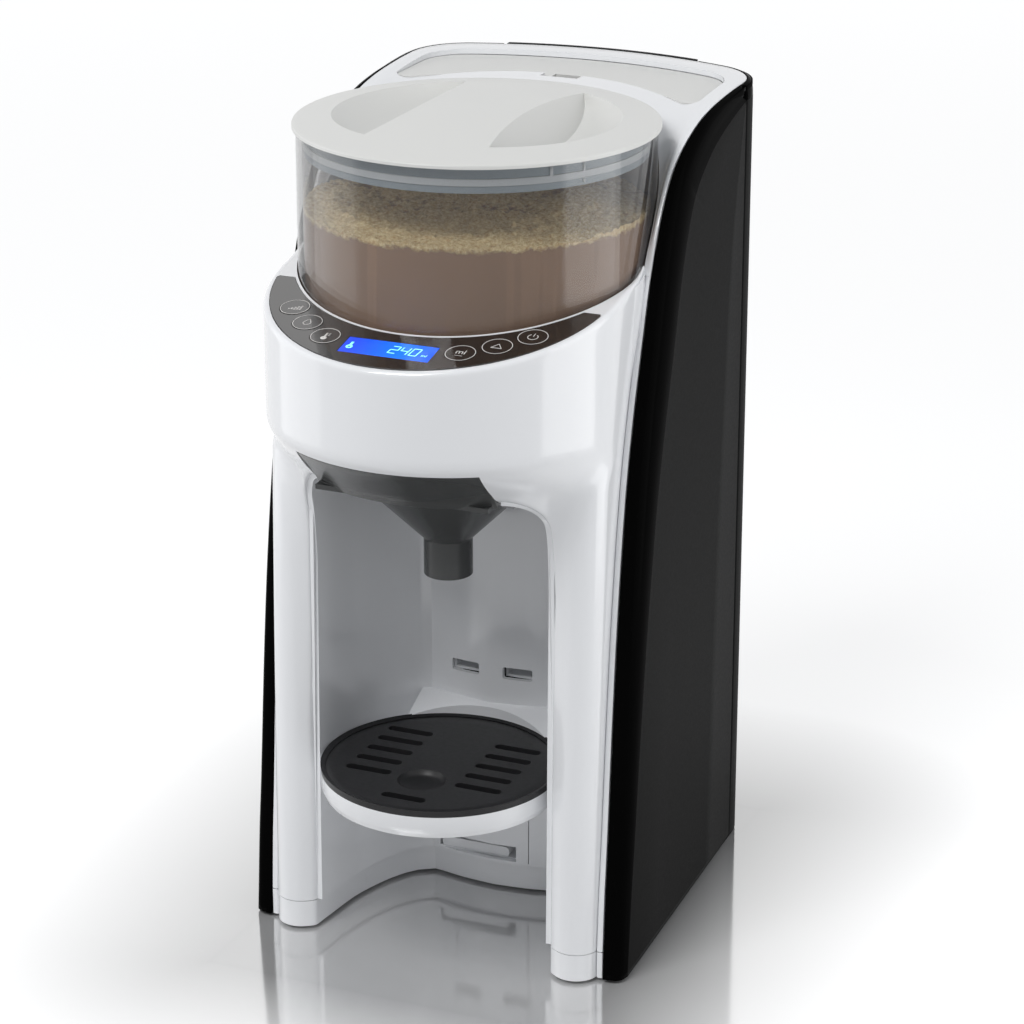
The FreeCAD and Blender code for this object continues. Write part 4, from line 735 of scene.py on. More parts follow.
def panel_side(u, step):
    """Rim and flat side of the right panel; u runs along the edge, the steps outwards and back."""
    spot, along = edge_point(u)
    inward = Vector((along.y, -along.x))
    wide = side_x(spot.x + RIM_DEPTH) - PANEL_EDGE
    deep = RIM_DEPTH * min(wide / RIM_WIDTH, 1.0) * band_width(spot.y)
    out, down = RIM[min(step, len(RIM) - 1)]
    y, z = spot.x + inward.x * down * deep, spot.y + inward.y * down * deep
    x = PANEL_EDGE + out * wide
    if step < len(RIM) - 1:
        return Vector((x, y, max(z, FLOOR_GAP)))
    last_z = FLOOR_GAP + u * (DECK_TOP - deep - FLOOR_GAP)
    share = (step - len(RIM) + 1) / SIDE_STEPS
    y += (CORNER_Y - y) * share
    return Vector((side_x(y), y, max(z + (last_z - z) * share, FLOOR_GAP)))


def panel_corner(u, step):
    """The rear corner: the same narrow rim on top, then straight down to the floor."""
    start = (CORNER_Y - JOINT_Y) / sum(DECK_RUNS)
    edge = deck_outline(start + (1 - start) * u)
    ahead = deck_outline(min(start + (1 - start) * u + 0.002, 1.0))
    behind = deck_outline(max(start + (1 - start) * u - 0.002, 0.0))
    along = (ahead - behind).normalized()
    outward = Vector((along.y, -along.x))
    turned = eased(u / 0.35)
    wide = (side_x(CORNER_Y) - PANEL_EDGE) * (1 - turned) + SHELL_WALL * turned
    first = side_x(CORNER_Y + RIM_DEPTH) - PANEL_EDGE
    deep = RIM_DEPTH * first / RIM_WIDTH * band_width(DECK_TOP)
    out, down = RIM[min(step, len(RIM) - 1)]
    spot = edge + outward * (0.1 + out * wide)
    z = flank_z(edge.y) - down * deep
    share = max(step - len(RIM) + 1, 0) / REAR_STEPS
    return Vector((spot.x, spot.y, z + (FLOOR_GAP - z) * share))


panel_gloss = Finish("panel_gloss_black", (0.002, 0.002, 0.002), 0.1, Specular_IOR_Level=0.0025)
panel_gloss.uneven(0.08, 0.06, 14, 2)
flank_black = Finish("flank_satin_black", (0.006, 0.006, 0.006), 0.45, Specular_IOR_Level=0.014)
flank_black.uneven(0.42, 0.12, 700, 4)
flank_black.grained(0.0001, 0.25, 2600, 2)

for side, name in ((1, "side_panel_right"), (-1, "side_panel_left")):
    bm = bmesh.new()
    for rows, surface in ((BODY_ROWS, panel_side), (CORNER_ROWS, panel_corner)):
        mapped(bm, rows, GLOSS_END, lambda u, v: surface(u, round(v * GLOSS_END)))
    for face in bm.faces:
        face.material_index = 1
    satin_steps = len(RIM) - 1 - GLOSS_END
    for rows, down, surface in ((BODY_ROWS, SIDE_STEPS, panel_side),
                                (CORNER_ROWS, REAR_STEPS, panel_corner)):
        steps = satin_steps + down
        mapped(bm, rows, steps, lambda u, v: surface(u, GLOSS_END + round(v * steps)))
    joined(bm, 0.003)
    beyond = [f for f in bm.faces if f.calc_center_median().y > 100 and f.calc_center_median().x < 46.3]
    bmesh.ops.delete(bm, geom=beyond, context="FACES")
    if side < 0:
        bmesh.ops.scale(bm, verts=bm.verts, vec=(-1, 1, 1))
    panel = drawn(name + "_shell", bm, 60)
    for finish in (flank_black, panel_gloss):
        panel.data.materials.append(finish.material)
    thickened(panel, SHELL_WALL)
    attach(panel, "housing")
    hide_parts(name)

# ---------------------------------------------------------------- rear cover, inlet and screws
# A plain black cover closes the back between the two side panels. It has a row of vent slots over the
# electronics, five domed crosshead screws, and the socket for a power lead at the bottom.

copied("rear_cover", "rear_cover_panel", flank_black, "housing", 0.4)
copied("power_inlet", "inlet_socket", rubber_black, "housing", 0.3)
plain_steel = Finish("plain_steel", (0.52, 0.52, 0.54), 0.32, Metallic=1.0)
plain_steel.uneven(0.26, 0.16, 260, 4)

SCREW_R, SCREW_RISE = 3.2, 1.1
SCREW_PLACES = ((-1, 26), (-1, 150), (1, 150), (-1, 318), (1, 318))
screw_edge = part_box("rear_screws")[1] / MM
screw_x, screw_y = screw_edge.x - SCREW_R, screw_edge.y - AXIS_Y - 0.3
heads, long_grooves, cross_grooves = bmesh.new(), bmesh.new(), bmesh.new()
for side, z in SCREW_PLACES:
    lean = math.asin(side * screw_x / REAR_BOW)
    spot = Vector((side * screw_x, screw_y, z))
    turn = Matrix.Translation(spot) @ Matrix.Rotation(-lean, 4, "Z") @ Matrix.Rotation(-math.pi / 2, 4, "X")
    flat = turn @ Matrix.Diagonal((1, 1, SCREW_RISE / SCREW_R, 1))
    bmesh.ops.create_uvsphere(heads, u_segments=40, v_segments=20, radius=SCREW_R, matrix=flat)
    for grooves, length, width in ((long_grooves, 3.4, 0.8), (cross_grooves, 0.8, 3.4)):
        groove = turn @ Matrix.Translation((0, 0, SCREW_RISE)) @ Matrix.Diagonal((length, width, 1.2, 1))
        bmesh.ops.create_cube(grooves, size=1, matrix=groove)
for bm in (heads, long_grooves, cross_grooves):
    settle(bm)
screw_heads = made_object("screw_heads", heads)
carved(screw_heads, [made_object("groove_cutter", bm) for bm in (long_grooves, cross_grooves)], "MANIFOLD")
painted(screw_heads, plain_steel)
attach(screw_heads, "housing")
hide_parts("rear_screws")

# ---------------------------------------------------------------- powder container
# A round jar turned out of clear, slightly smoky plastic, open on top. It stands in the housing's well
# with half a millimetre all round, and its floor carries the wheels' hub and the powder outlet.


def kept(node, finish, slot):
    """A CAD node whose shape is right: it only gets its finish."""
    painted(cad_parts[node], finish)


def see_through(finish, face_on, edge_on):
    """Clear plastic: little is seen of it face on, and more towards the rims."""
    edge = finish.node("LayerWeight", {"Blend": 0.35}, output="Facing")
    finish.put(Alpha=face_on + edge * edge * (edge_on - face_on))


clear_plastic = Finish("clear_smoky_plastic", (0.07, 0.07, 0.075), 0.04, Coat_Weight=1.0, Coat_IOR=1.8,
                       Specular_IOR_Level=1.0)
see_through(clear_plastic, 0.13, 0.97)
clear_plastic.uneven(0.03, 0.04, 60, 3)
copied("powder_container", "powder_jar", clear_plastic, "container", 0.4)

# ---------------------------------------------------------------- milk powder
# Loose formula: pressed smooth and creamy against the jar's wall, and crumbly and browner on top, where
# the measured lumps lie as they fell. The top is painted lighter than the side, as light from above would
# make it, with a painted highlight on each crumb's raised top and painted shade in its hollows.

POWDER_RADIUS = 72.8
POWDER_TOP = 325.6
POWDER_LOW = 284.5


def crumbs(place):
    """Height of the crumbly top over its mean level."""
    heap = noise.noise(place * 0.035) * 2.0
    lumps = noise.noise(place * 0.21) * 1.1 + noise.noise(place * 0.5) * 0.8
    grains = max(noise.cell(place * 0.62) - 0.35, 0) * 1.5
    return heap + lumps + grains


powder_tan = Finish("milk_powder", (0.72, 0.58, 0.50), 0.9)
height = powder_tan.node("SeparateXYZ", {"Vector": powder_tan.place}, output="Z")
ragged = powder_tan.noise(260, 4, 0.65)
grain = powder_tan.noise(620, 5, 0.7)
# The top of the powder, painted lighter than the creamy side as if lit from above.
on_top = powder_tan.ramp(height + (ragged - 0.5) * 0.006, 0.3234, 0.3250)
creamy = powder_tan.between(powder_tan.noise(70, 4), (0.36, 0.22, 0.135), (0.30, 0.18, 0.11))
# Painted highlight on each crumb's raised top and painted shade in its hollows, from the same grain that
# makes the bump; only the golden-brown hue is the crumbs' own.
crumbs_lit_and_shaded = powder_tan.between(powder_tan.ramp(grain, 0.34, 0.62), (0.56, 0.33, 0.12), (1.0, 0.84, 0.48))
powder_tan.put(Base_Color=powder_tan.between(on_top, creamy, crumbs_lit_and_shaded))
powder_tan.rough_surface(grain * on_top, 0.0012, 0.7)

bm = bmesh.new()
profile = [(0.01, POWDER_LOW), (POWDER_RADIUS, POWDER_LOW), (POWDER_RADIUS, POWDER_TOP)]
profile += [(POWDER_RADIUS * (1 - i / 90), POWDER_TOP) for i in range(1, 90)] + [(0.01, POWDER_TOP)]
corners = [bm.verts.new((r, 0, z)) for r, z in profile]
edges = [bm.edges.new(pair) for pair in zip(corners, corners[1:])]
bmesh.ops.spin(bm, geom=corners + edges, axis=(0, 0, 1), angle=math.tau, steps=300, use_merge=True)
joined(bm, 0.05)
for vert in bm.verts:
    if vert.co.z > POWDER_TOP - 0.1:
        vert.co.z += crumbs(vert.co)
powder = drawn("powder_fill", bm, 75)
painted(powder, powder_tan)
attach(powder, "container")
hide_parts("milk_powder")

# ---------------------------------------------------------------- dosing and stirring wheels
# White acetal wheels on the square of the drive shaft: the lower one measures the powder in six
# pockets, and the upper one rakes it level. They come out with the jar.

acetal = Finish("white_acetal", (0.78, 0.78, 0.75), 0.38)
acetal.uneven(0.33, 0.14, 90, 3)
copied("dosing_wheel", "dosing_disc", acetal, "wheels", 0.4)
copied("stirring_wheel", "stirring_rake", acetal, "wheels", 0.3)

# ---------------------------------------------------------------- jar lid
# A satin light grey cap with a low dome. Two mirrored finger scoops leave a grip bar between them. Under
# it a frosted skirt with a soft seal reaches into the jar, and a small rib shows where it locks.

lid_white = Finish("lid_grey_white", (0.70, 0.70, 0.68), 0.34)
lid_white.uneven(0.31, 0.08, 40, 3)
lid_white.grained(0.00006, 0.3, 2400, 2)

LID_R, LID_FLAT, LID_EDGE, LID_SKIN = 77.0, 76.2, 1.7, 1.9
DOME_R = 497.1
TIP_X, TIP_Y = 27.5, 51.0  # ends of the grip bar, where each scoop runs out
BAR_ARC_R, BAR_WAIST = 273.3, 22.7
BOWL_ARC_R, BOWL_REACH = 55.6, 61.0
SCOOP_DEEP, SCOOP_VALLEY = 14.6, 0.31
BAR_COLUMNS, WALL_COLUMNS, BOWL_COLUMNS, EDGE_COLUMNS = 8, 12, 28, 10
LID_COLUMNS = BAR_COLUMNS + WALL_COLUMNS + BOWL_COLUMNS + EDGE_COLUMNS


def dome_z(x, y):
    return DECK_TOP + 6.0 - DOME_R + math.sqrt(DOME_R**2 - x**2 - y**2)


def lid_top(u, v):
    """Right half of the cap's top, in rows along X: grip bar, slanted wall, bowl and margin."""
    turn = math.pi * (u - 0.5)
    rim, y = LID_FLAT * math.cos(turn), LID_FLAT * math.sin(turn)
    near = far = min(TIP_X, rim / 2)
    if abs(y) < TIP_Y:
        near = BAR_WAIST + BAR_ARC_R - math.sqrt(BAR_ARC_R**2 - y**2)
        far = max(BOWL_REACH - BOWL_ARC_R + math.sqrt(BOWL_ARC_R**2 - y**2), near)
    column = round(v * LID_COLUMNS)
    valley = near + (far - near) * SCOOP_VALLEY
    deepest = SCOOP_DEEP * max(1 - (y / TIP_Y) ** 2, 0) ** 0.55
    depth = 0.0
    if column <= BAR_COLUMNS:
        x = near * column / BAR_COLUMNS
    elif column <= BAR_COLUMNS + WALL_COLUMNS:
        share = (column - BAR_COLUMNS) / WALL_COLUMNS
        x, depth = near + (valley - near) * share, deepest * share
    elif column <= LID_COLUMNS - EDGE_COLUMNS:
        share = (column - BAR_COLUMNS - WALL_COLUMNS) / BOWL_COLUMNS
        x, depth = valley + (far - valley) * share, deepest * (1 - share**1.7)
    else:
        x = far + (rim - far) * (column - LID_COLUMNS + EDGE_COLUMNS) / EDGE_COLUMNS
    return Vector((x, y, dome_z(x, y) - depth))


def lid_rim(u, v):
    """The cap's rounded rim, down to its lower edge."""
    flat_z = dome_z(LID_FLAT, 0)
    reach, z = ((LID_FLAT, flat_z), (LID_R - 0.22, flat_z - 0.22), (LID_R, flat_z - 0.7),
                (LID_R, DECK_TOP - LID_EDGE))[round(v * 3)]
    return Vector((reach * math.cos(math.tau * u), reach * math.sin(math.tau * u), z))


bm = bmesh.new()
mapped(bm, 180, LID_COLUMNS, lid_top)
mirror_half(bm)
mapped(bm, 360, 3, lid_rim)
joined(bm, 0.02)
lid_cap = drawn("lid_cap_shell", bm, 24)
thickened(lid_cap, LID_SKIN)
rounded(lid_cap, 0.45, 3, 24)
painted(lid_cap, lid_white)
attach(lid_cap, "lid")
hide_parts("lid_cap")
# The skirt's blue-grey is partly the frosted plastic's own tint and partly painted shade, darkened for where
# it sits under the cap's rim.
frosted_and_shaded = Finish("frosted_plastic", (0.36, 0.42, 0.46), 0.4, Alpha=0.85)
frosted_and_shaded.uneven(0.42, 0.1, 900, 3)
copied("lid_skirt", "lid_skirt_ring", frosted_and_shaded, "lid_plug", 0.2)
silicone = Finish("milky_silicone", (0.62, 0.65, 0.67), 0.55)
silicone.grained(0.0001, 0.3, 1200, 2)
copied("lid_seal", "lid_seal_ring", silicone, "lid_plug", 0.3)


def band_on(radius, start, end, low, high, lean=0.0):
    """A thin rib on a cylinder about the jar's axis, between two angles and two heights."""
    bm = bmesh.new()

    def place(u, v):
        angle = math.radians(start + (end - start) * u)
        z = low + (high - low) * v + lean * u
        return Vector((*in_plan(radius, angle), z))

    mapped(bm, 16, 1, place)
    bmesh.ops.recalc_face_normals(bm, faces=bm.faces)
    settle(bm)
    return bm


for name, sizes in (("lock_rib_low", (72.4, 39.0, 47.5, 353.0, 353.9)),
                    ("lock_rib_up", (72.4, 47.2, 48.2, 353.0, 358.6)),
                    ("lock_mark", (72.4, 59.5, 60.2, 349.5, 358.6))):
    rib = made_object(name, band_on(*sizes))
    thickened(rib, 0.5, 0)
    painted(rib, silicone)
    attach(rib, "lid_plug")

# ---------------------------------------------------------------- control panel
# A polished black crescent let into the sloping face, with a lit blue window in the middle and three
# round push buttons each side. Every button has a fine pale ring and its own simple sign.

panel_black = Finish("panel_black", (0.009, 0.006, 0.005), 0.05, Coat_Weight=1.0, Coat_Roughness=0.02)
panel_black.uneven(0.04, 0.04, 30, 3)
control_panel = crescent_block("control_panel_plate", -0.25, -2.0, 0.0)
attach(control_panel, "housing")
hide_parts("control_panel")

ink = Finish("pale_ink", (0.80, 0.78, 0.76), 0.5)
ink.uneven(0.45, 0.1, 1500, 2)

BUTTON_ROW = 62.5
BUTTON_OUTSET = 1.3
BUTTON_RADIUS = 6.35
BUTTON_GAP = 0.25
# Degrees off the middle, about the centre of the half-round front.
BUTTON_PLACES = {"level": -56.15, "night": -42.31, "warmth": -28.47,
                 "volume": 28.47, "start": 42.31, "power": 56.15}
DISPLAY_Y = -89.4
INK = 0.34


def button_place(degrees):
    reach = BUTTON_ROW + (BUTTON_OUTSET if abs(degrees) > 50 else 0.0)
    angle = math.radians(degrees)
    return reach * math.sin(angle), NOSE_Y - reach * math.cos(angle)


def on_panel(bm, x, y, lift):
    """Lays a mesh drawn flat in millimetres on the control panel's face."""
    turn = Matrix.Rotation(PANEL_LEAN, 4, "X")
    seat = Matrix.Translation((x, y, panel_z(y))) @ turn @ Matrix.Translation((0, 0, lift))
    bmesh.ops.transform(bm, matrix=seat, verts=bm.verts)
    settle(bm)


def ring(bm, x, y, radius, width, start=0.0, end=360.0):
    def place(u, v):
        angle = math.radians(start + (end - start) * u)
        reach = radius + width * (v - 0.5)
        return Vector((x + reach * math.sin(angle), y + reach * math.cos(angle), 0))

    mapped(bm, 48, 1, place)


def stroke(bm, x0, y0, x1, y1, width=INK):
    """A straight flat line with square ends."""
    along = Vector((x1 - x0, y1 - y0, 0))
    across = Vector((-along.y, along.x, 0)).normalized() * width
    mapped(bm, 1, 1, lambda u, v: Vector((x0, y0, 0)) + along * u + across * (v - 0.5))


def letters(bm, text, x, y, size):
    """A few generic letters or figures, centred on a place."""
    font = bpy.data.curves.new("sign", "FONT")
    font.body, font.size, font.align_x, font.align_y = text, size, "CENTER", "CENTER"
    holder = bpy.data.objects.new("sign", font)
    bpy.context.scene.collection.objects.link(holder)
    mesh = bpy.data.meshes.new_from_object(holder.evaluated_get(bpy.context.evaluated_depsgraph_get()))
    mesh.transform(Matrix.Translation((x, y, 0)))
    bm.from_mesh(mesh)
    bpy.data.objects.remove(holder)
    bpy.data.meshes.remove(mesh)


# What is drawn on each button, in millimetres about its middle.
SIGNS = {
    "level": [(stroke, -2.4 + i * 1.2, -1.7 + j * 0.8, -1.5 + i * 1.2, -1.7 + j * 0.8, 0.5)
              for i in range(5) for j in range(i + 1)],
    "night": [(ring, 0, -0.5, 1.6, INK, 70, 290), (stroke, -1.5, 0.1, 0, 2.7), (stroke, 1.5, 0.1, 0, 2.7)],
    "warmth": [(ring, 0, -1.9, 0.75, 1.2), (stroke, 0, -1.6, 0, 2.4, 0.9)]
              + [(stroke, 0.9, 0.2 + i * 0.9, 1.8, 0.2 + i * 0.9, 0.28) for i in range(3)],
    "volume": [(letters, "ml", 0, 0.7, 4.6), (stroke, -1.7, -2.2, 1.7, -2.2, 0.24)],
    "start": [(stroke, -2.3, -1.5, 2.3, -1.5), (stroke, -2.3, -1.5, 0, 2.0), (stroke, 2.3, -1.5, 0, 2.0)],
    "power": [(ring, 0, -0.1, 2.1, INK, 35, 325), (stroke, 0, 0.4, 0, 2.9)],
}


def round_hole(degrees):
    """A cutter for a button's hole in the control panel."""
    bm = bmesh.new()
    reach = BUTTON_RADIUS + BUTTON_GAP
    bmesh.ops.create_cone(bm, cap_ends=True, segments=64, radius1=reach, radius2=reach, depth=12)
    on_panel(bm, *button_place(degrees), 0)
    return made_object("cutter", bm)


display_hole = cutter_block((-20.0, DISPLAY_Y - 6.3, 270), (20.0, DISPLAY_Y + 6.3, 300))
carved(control_panel, [round_hole(degrees) for degrees in BUTTON_PLACES.values()] + [display_hole])
painted(control_panel, panel_black)
rounded(control_panel, 0.2, 2, 40)

for name, sign in SIGNS.items():
    body = "button_" + name
    copied(body, body + "_cap", panel_black, body, 0.2)
    bm = bmesh.new()
    ring(bm, 0, 0, BUTTON_RADIUS - 0.25, 0.3)
    for draw, *sizes in sign:
        draw(bm, *sizes)
    joined(bm, 0.001)
    on_panel(bm, *button_place(BUTTON_PLACES[name]), 0.17)
    bmesh.ops.recalc_face_normals(bm, faces=bm.faces)
    mark = made_object(body + "_sign", bm)
    thickened(mark, 0.05, 1)
    painted(mark, ink)
    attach(mark, body)

# The window glows blue, brightest in the middle, and shows the amount in thin pale figures.
display_blue = Finish("display_blue", (0.0, 0.05, 0.5), 0.08, Coat_Weight=0.6, Emission_Strength=1.0)
across = display_blue.node("SeparateXYZ", {"Vector": display_blue.place}, output="X")
aside = display_blue.node("Math", {0: across - 0.006}, operation="ABSOLUTE")
glow = 1 - display_blue.ramp(aside, 0.0, 0.022)
display_blue.put(Emission_Color=display_blue.between(glow, (0.0, 0.03, 0.62), (0.0, 0.2, 1.0)))
copied("display", "display_window", display_blue, "housing", 0.1)
lit_figures = Finish("lit_figures", (0.2, 0.7, 1.0), 0.4, Emission_Color=(0.25, 0.8, 1.0),
                     Emission_Strength=1.0)
FIGURE_LINES = {"top": (0, 1, 1, 1), "middle": (0, 0.5, 1, 0.5), "low": (0, 0, 1, 0),
                "up_left": (0, 0.5, 0, 1), "up_right": (1, 0.5, 1, 1),
                "low_left": (0, 0, 0, 0.5), "low_right": (1, 0, 1, 0.5)}
FIGURE_WIDE, FIGURE_TALL, FIGURE_LEAN, FIGURE_STEP = 3.2, 5.6, 0.7, 4.6


def figure_corner(i, x, y):
    """A corner of the i-th figure, which leans to the right as it rises."""
    return 0.6 + i * FIGURE_STEP + x * FIGURE_WIDE + y * FIGURE_LEAN, y * FIGURE_TALL - 2.6


FIGURES = [("top", "up_right", "middle", "low_left", "low"), ("up_left", "middle", "up_right", "low_right"),
           ("top", "up_left", "up_right", "low_left", "low_right", "low")]
bm = bmesh.new()
for i, lines in enumerate(FIGURES):
    for line in lines:
        x0, y0, x1, y1 = FIGURE_LINES[line]
        stroke(bm, *figure_corner(i, x0, y0), *figure_corner(i, x1, y1), 0.5)
letters(bm, "ml", 16.4, -1.7, 2.6)
ring(bm, -16.6, -1.6, 1.0, 0.9)
stroke(bm, -16.6, -0.6, -16.6, 2.4, 1.1)
on_panel(bm, 0, DISPLAY_Y, -0.04)
bmesh.ops.recalc_face_normals(bm, faces=bm.faces)
figures = made_object("display_figures", bm)
thickened(figures, 0.04, 1)
painted(figures, lit_figures)
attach(figures, "housing")

# ---------------------------------------------------------------- mixing funnel
# One moulding in smoked see-through plastic: a curved front plate that closes the gap under the head, a
# flange that slides in two rails, and a cone with a short spout.

smoked = Finish("smoked_plastic", (0.068, 0.07, 0.07), 0.25, Specular_IOR_Level=0.3)
see_through(smoked, 0.88, 1.0)
smoked.uneven(0.2, 0.08, 80, 3)
copied("funnel", "mixing_funnel", smoked, "funnel", 0.3)
inner_grey = Finish("inner_grey", (0.28, 0.28, 0.29), 0.5)
inner_grey.grained(0.0001, 0.3, 1800, 2)
copied("funnel_rails", "funnel_rail_pair", inner_grey, "housing", 0.3)

# ---------------------------------------------------------------- drip tray
# A round white dish with a raised flange that hooks into the lining's slots at three heights, and a
# black grid laid in it, with drain slots and a thumb hollow at the front.

TRAY_Y = -41.5
GRID_TOP = 86.0
GRID_RADIUS = 50.0
GRID_THICK = 2.4
copied("drip_tray", "drip_dish", gloss_white, "tray", 0.5)


def slot_cutter(x, y, length):
    """A drain slot with round ends, as a cutter."""
    bm = bmesh.new()
    block(bm, (x, y, GRID_TOP), (length, SLOT_WIDTH, 8))
    ends = [e for e in bm.edges if abs(e.verts[0].co.z - e.verts[1].co.z) > 1]
    round_off_edges(bm, ends, SLOT_WIDTH * 0.48)
    settle(bm)
    return made_object("slot_cutter", bm)


grid_black = Finish("grid_black", (0.012, 0.012, 0.013), 0.4, Specular_IOR_Level=0.3)
grid_black.uneven(0.34, 0.14, 500, 3)
SLOT_WIDTH = 4.6
HOLLOW_Y, HOLLOW_R, HOLLOW_DEEP = -61.3, 10.6, 3.8
HOLLOW_RINGS, DISC_RINGS = 12, 16


def grid_face(u, v):
    """The grid's top, from the middle of the thumb hollow out to the rim."""
    angle = math.tau * u
    ringed = v * (HOLLOW_RINGS + DISC_RINGS + 2)
    if ringed <= HOLLOW_RINGS:
        share = ringed / HOLLOW_RINGS
        reach = HOLLOW_R * share
        sink = HOLLOW_DEEP * math.sqrt(max(1 - share**2.6, 0.0))
        return Vector((*in_plan(reach, angle, HOLLOW_Y), GRID_TOP - sink))
    share = min((ringed - HOLLOW_RINGS) / DISC_RINGS, 1.0)
    spot = in_plan(HOLLOW_R, angle, HOLLOW_Y).lerp(in_plan(GRID_RADIUS - 0.5, angle, TRAY_Y), share)
    if ringed <= HOLLOW_RINGS + DISC_RINGS:
        return Vector((spot.x, spot.y, GRID_TOP))
    drop, grow = ((0.15, 0.35), (0.5, 0.5))[round(ringed) - HOLLOW_RINGS - DISC_RINGS - 1]
    return Vector((spot.x + grow * math.sin(angle), spot.y - grow * math.cos(angle), GRID_TOP - drop))


bm = bmesh.new()
mapped(bm, 128, HOLLOW_RINGS + DISC_RINGS + 2, grid_face)
joined(bm, 0.01)
bmesh.ops.recalc_face_normals(bm, faces=bm.faces)
if sum(face.normal.z for face in bm.faces) < 0:
    bmesh.ops.reverse_faces(bm, faces=bm.faces)
settle(bm)
grid = made_object("drip_grid", bm, 40)
thickened(grid, GRID_THICK)
cutters = [slot_cutter(side * 25.7, -60 + row * 10.85, 21.4) for row in range(5) for side in (-1, 1)]
carved(grid, cutters + [slot_cutter(0, -80.2, 20.4)], "MANIFOLD")
painted(grid, grid_black)
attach(grid, "grid")
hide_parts("tray_grid")

# ---------------------------------------------------------------- water tank
# A clear tank drops into the back of the machine and seals on a valve in its shelf. Its lid is a plate
# in the lid's own grey-white, let into the deck, with a notch to lift it by.

copied("water_tank", "water_tank_shell", clear_plastic, "tank", 0.5)
copied("tank_lid", "tank_lid_plate", lid_white, "tank_lid", 0.35)
copied("tank_valve", "tank_valve_body", silicone, "tank", 0.3)
copied("tank_seat", "tank_shelf", inner_grey, "housing", 0.3)

# ---------------------------------------------------------------- works inside
# The well's floor with its bush, the gears and motor under it, the powder chute, and the water side: a
# heater, a pump, pipes, a nozzle, and the boards that run them. None of it shows from outside.

brass = Finish("plain_brass", (0.60, 0.44, 0.17), 0.3, Metallic=1.0)
brass.uneven(0.25, 0.16, 240, 4)
board_green = Finish("board_green", (0.02, 0.13, 0.05), 0.35)
tracks = board_green.node("TexBrick", {"Vector": board_green.place, "Scale": 160.0, "Mortar Size": 0.03},
                          output="Fac")
board_green.put(Base_Color=board_green.between(tracks, (0.02, 0.13, 0.05), (0.05, 0.22, 0.09)))
for finish, slot, nodes in (
    (gloss_white, "gloss_white", ("well_floor",)),
    (brass, "brass", ("well_bush", "pinion", "water_nozzle")),
    (plain_steel, "steel", ("motor_bracket", "gear_motor", "motor_shaft", "drive_shaft")),
    (plain_steel, "steel", ("water_heater", "transformer")),
    (acetal, "acetal", ("drive_gear", "idler_gear")),
    (inner_grey, "inner_grey", ("powder_chute",)),
    (board_green, "board_green", ("control_board", "main_board")),
    (rubber_black, "matte_black", ("button_switches", "water_pump")),
    (silicone, "silicone", ("hot_water_pipe", "cold_water_pipe")),
):
    for node in nodes:
        kept(node, finish, slot)

# ---------------------------------------------------------------- floor, light and camera
# A white, softly polished floor that keeps the machine's shadow and a fading reflection. It glows white to
# the camera only away from the machine. Round its foot the glow fades out, leaving a painted darker patch
# in which the real shadow and reflection show, and there the floor is more mirror-like. Two tall light
# panels stand left and right of the machine, and a softbox hangs over its front; none shows itself.

DIRECT_RAYS = ("Is Camera Ray", "Is Glossy Ray", "Is Transmission Ray")
stage_white = Finish("stage_white", (0.7, 0.7, 0.7), 0.1, Emission_Strength=1.0)
stage_white.uneven(0.06, 0.05, 3, 2)
outside = stage_white.node("VectorMath", {0: stage_white.place}, operation="ABSOLUTE")
outside = stage_white.node("VectorMath", {0: outside, 1: (0.085, 0.12, 0.0)}, operation="SUBTRACT")
outside = stage_white.node("VectorMath", {0: outside, 1: (0.0, 0.0, 0.0)}, operation="MAXIMUM")
outside = stage_white.node("VectorMath", {0: outside}, output="Value", operation="LENGTH")
# Painted shade: the floor's white glow fades out over 12 cm round the machine's foot.
away = stage_white.ramp(outside, 0.0, 0.12)
stage_white.put(Metallic=(1 - away) * 0.6)
rays = stage_white.node("LightPath", output=DIRECT_RAYS[0])
direct = sum((Shade(stage_white, rays.socket.node.outputs[name]) for name in DIRECT_RAYS[1:]), rays)
stage_white.put(Emission_Color=stage_white.between(direct * away, (0, 0, 0), (0.5, 0.5, 0.5)))
bm = bmesh.new()
bmesh.ops.create_grid(bm, x_segments=1, y_segments=1, size=12.0)
floor = made_object("floor", bm)
painted(floor, stage_white)

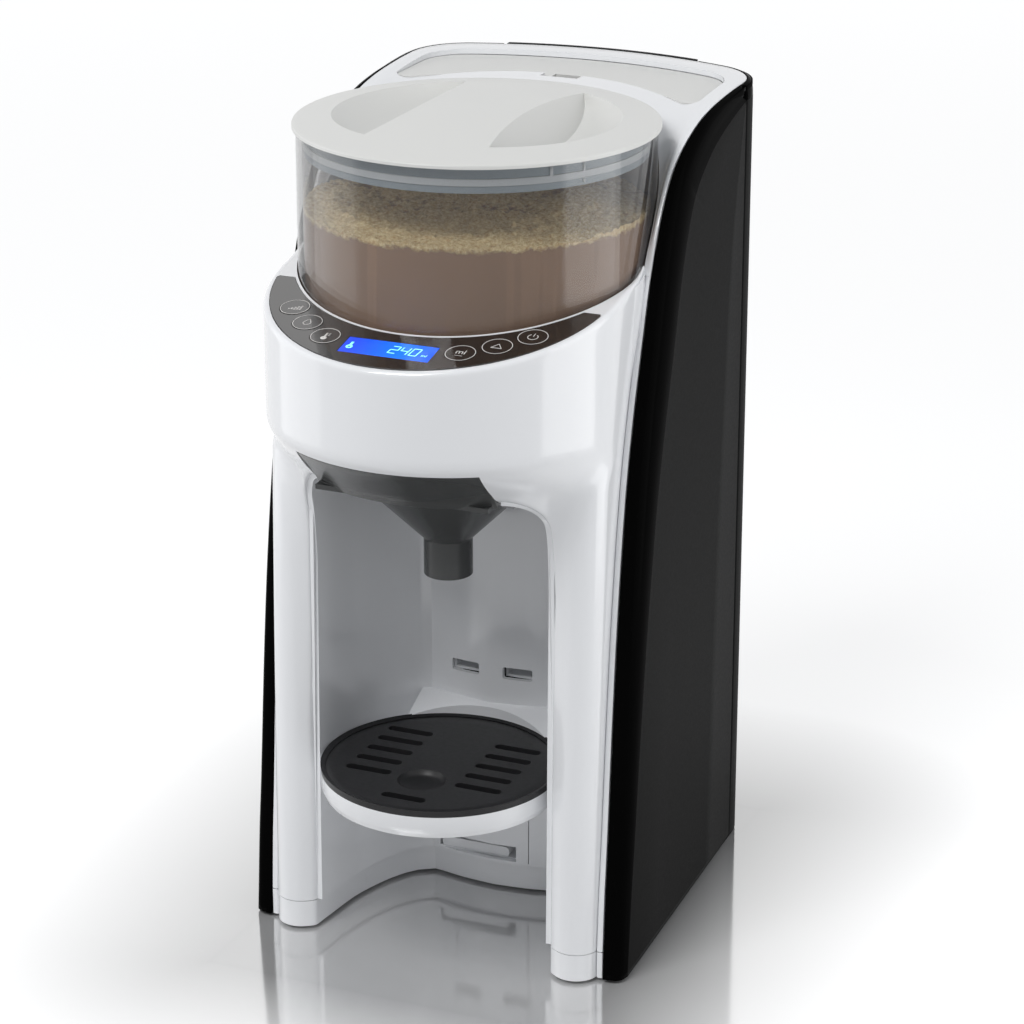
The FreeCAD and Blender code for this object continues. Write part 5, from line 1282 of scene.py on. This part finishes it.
world = bpy.context.scene.world or bpy.data.worlds.new("studio")
bpy.context.scene.world = world
world.use_nodes = True
tree = world.node_tree
surround = tree.nodes["Background"]
surround.inputs["Color"].default_value = (0.93, 0.96, 1.0, 1)
surround.inputs["Strength"].default_value = 0.3
seen_white = tree.nodes.new("ShaderNodeBackground")
seen_white.inputs["Color"].default_value = (1, 1, 1, 1)
seen_white.inputs["Strength"].default_value = 1.0
path = tree.nodes.new("ShaderNodeLightPath")
factor = path.outputs[DIRECT_RAYS[0]]
for name in DIRECT_RAYS[1:]:
    added = tree.nodes.new("ShaderNodeMath")
    tree.links.new(factor, added.inputs[0])
    tree.links.new(path.outputs[name], added.inputs[1])
    factor = added.outputs[0]
pick = tree.nodes.new("ShaderNodeMixShader")
tree.links.new(factor, pick.inputs[0])
tree.links.new(surround.outputs[0], pick.inputs[1])
tree.links.new(seen_white.outputs[0], pick.inputs[2])
tree.links.new(pick.outputs[0], tree.nodes["World Output"].inputs["Surface"])


def softbox(name, place, aim, width, height, power):
    lamp = bpy.data.lights.new(name, "AREA")
    lamp.shape = "RECTANGLE"
    lamp.size, lamp.size_y, lamp.energy = width, height, power
    holder = bpy.data.objects.new(name, lamp)
    bpy.context.scene.collection.objects.link(holder)
    holder.location = place
    holder.rotation_euler = (Vector(aim) - Vector(place)).to_track_quat("-Z", "Y").to_euler()
    holder.visible_camera = False


softbox("key", (-0.3, -1.1, 1.6), (0, 0, 0.2), 0.8, 0.8, 18)
softbox("left_panel", (-0.58, -0.16, 0.40), (0, 0, 0.40), 0.45, 0.8, 0.9)
softbox("right_panel", (0.55, 0.07, 0.34), (0, 0, 0.30), 0.45, 0.8, 2.1)

camera = bpy.data.objects.new("camera", bpy.data.cameras.new("camera"))
bpy.context.scene.collection.objects.link(camera)
camera.data.lens = 118.97
camera.data.sensor_width = 36.0
camera.location = (0.5501, -1.2801, 0.6948)
camera.rotation_euler = (math.radians(90 - 20.269), 0, math.radians(22.985))
bpy.context.scene.camera = camera
bpy.context.scene.view_settings.view_transform = "Standard"
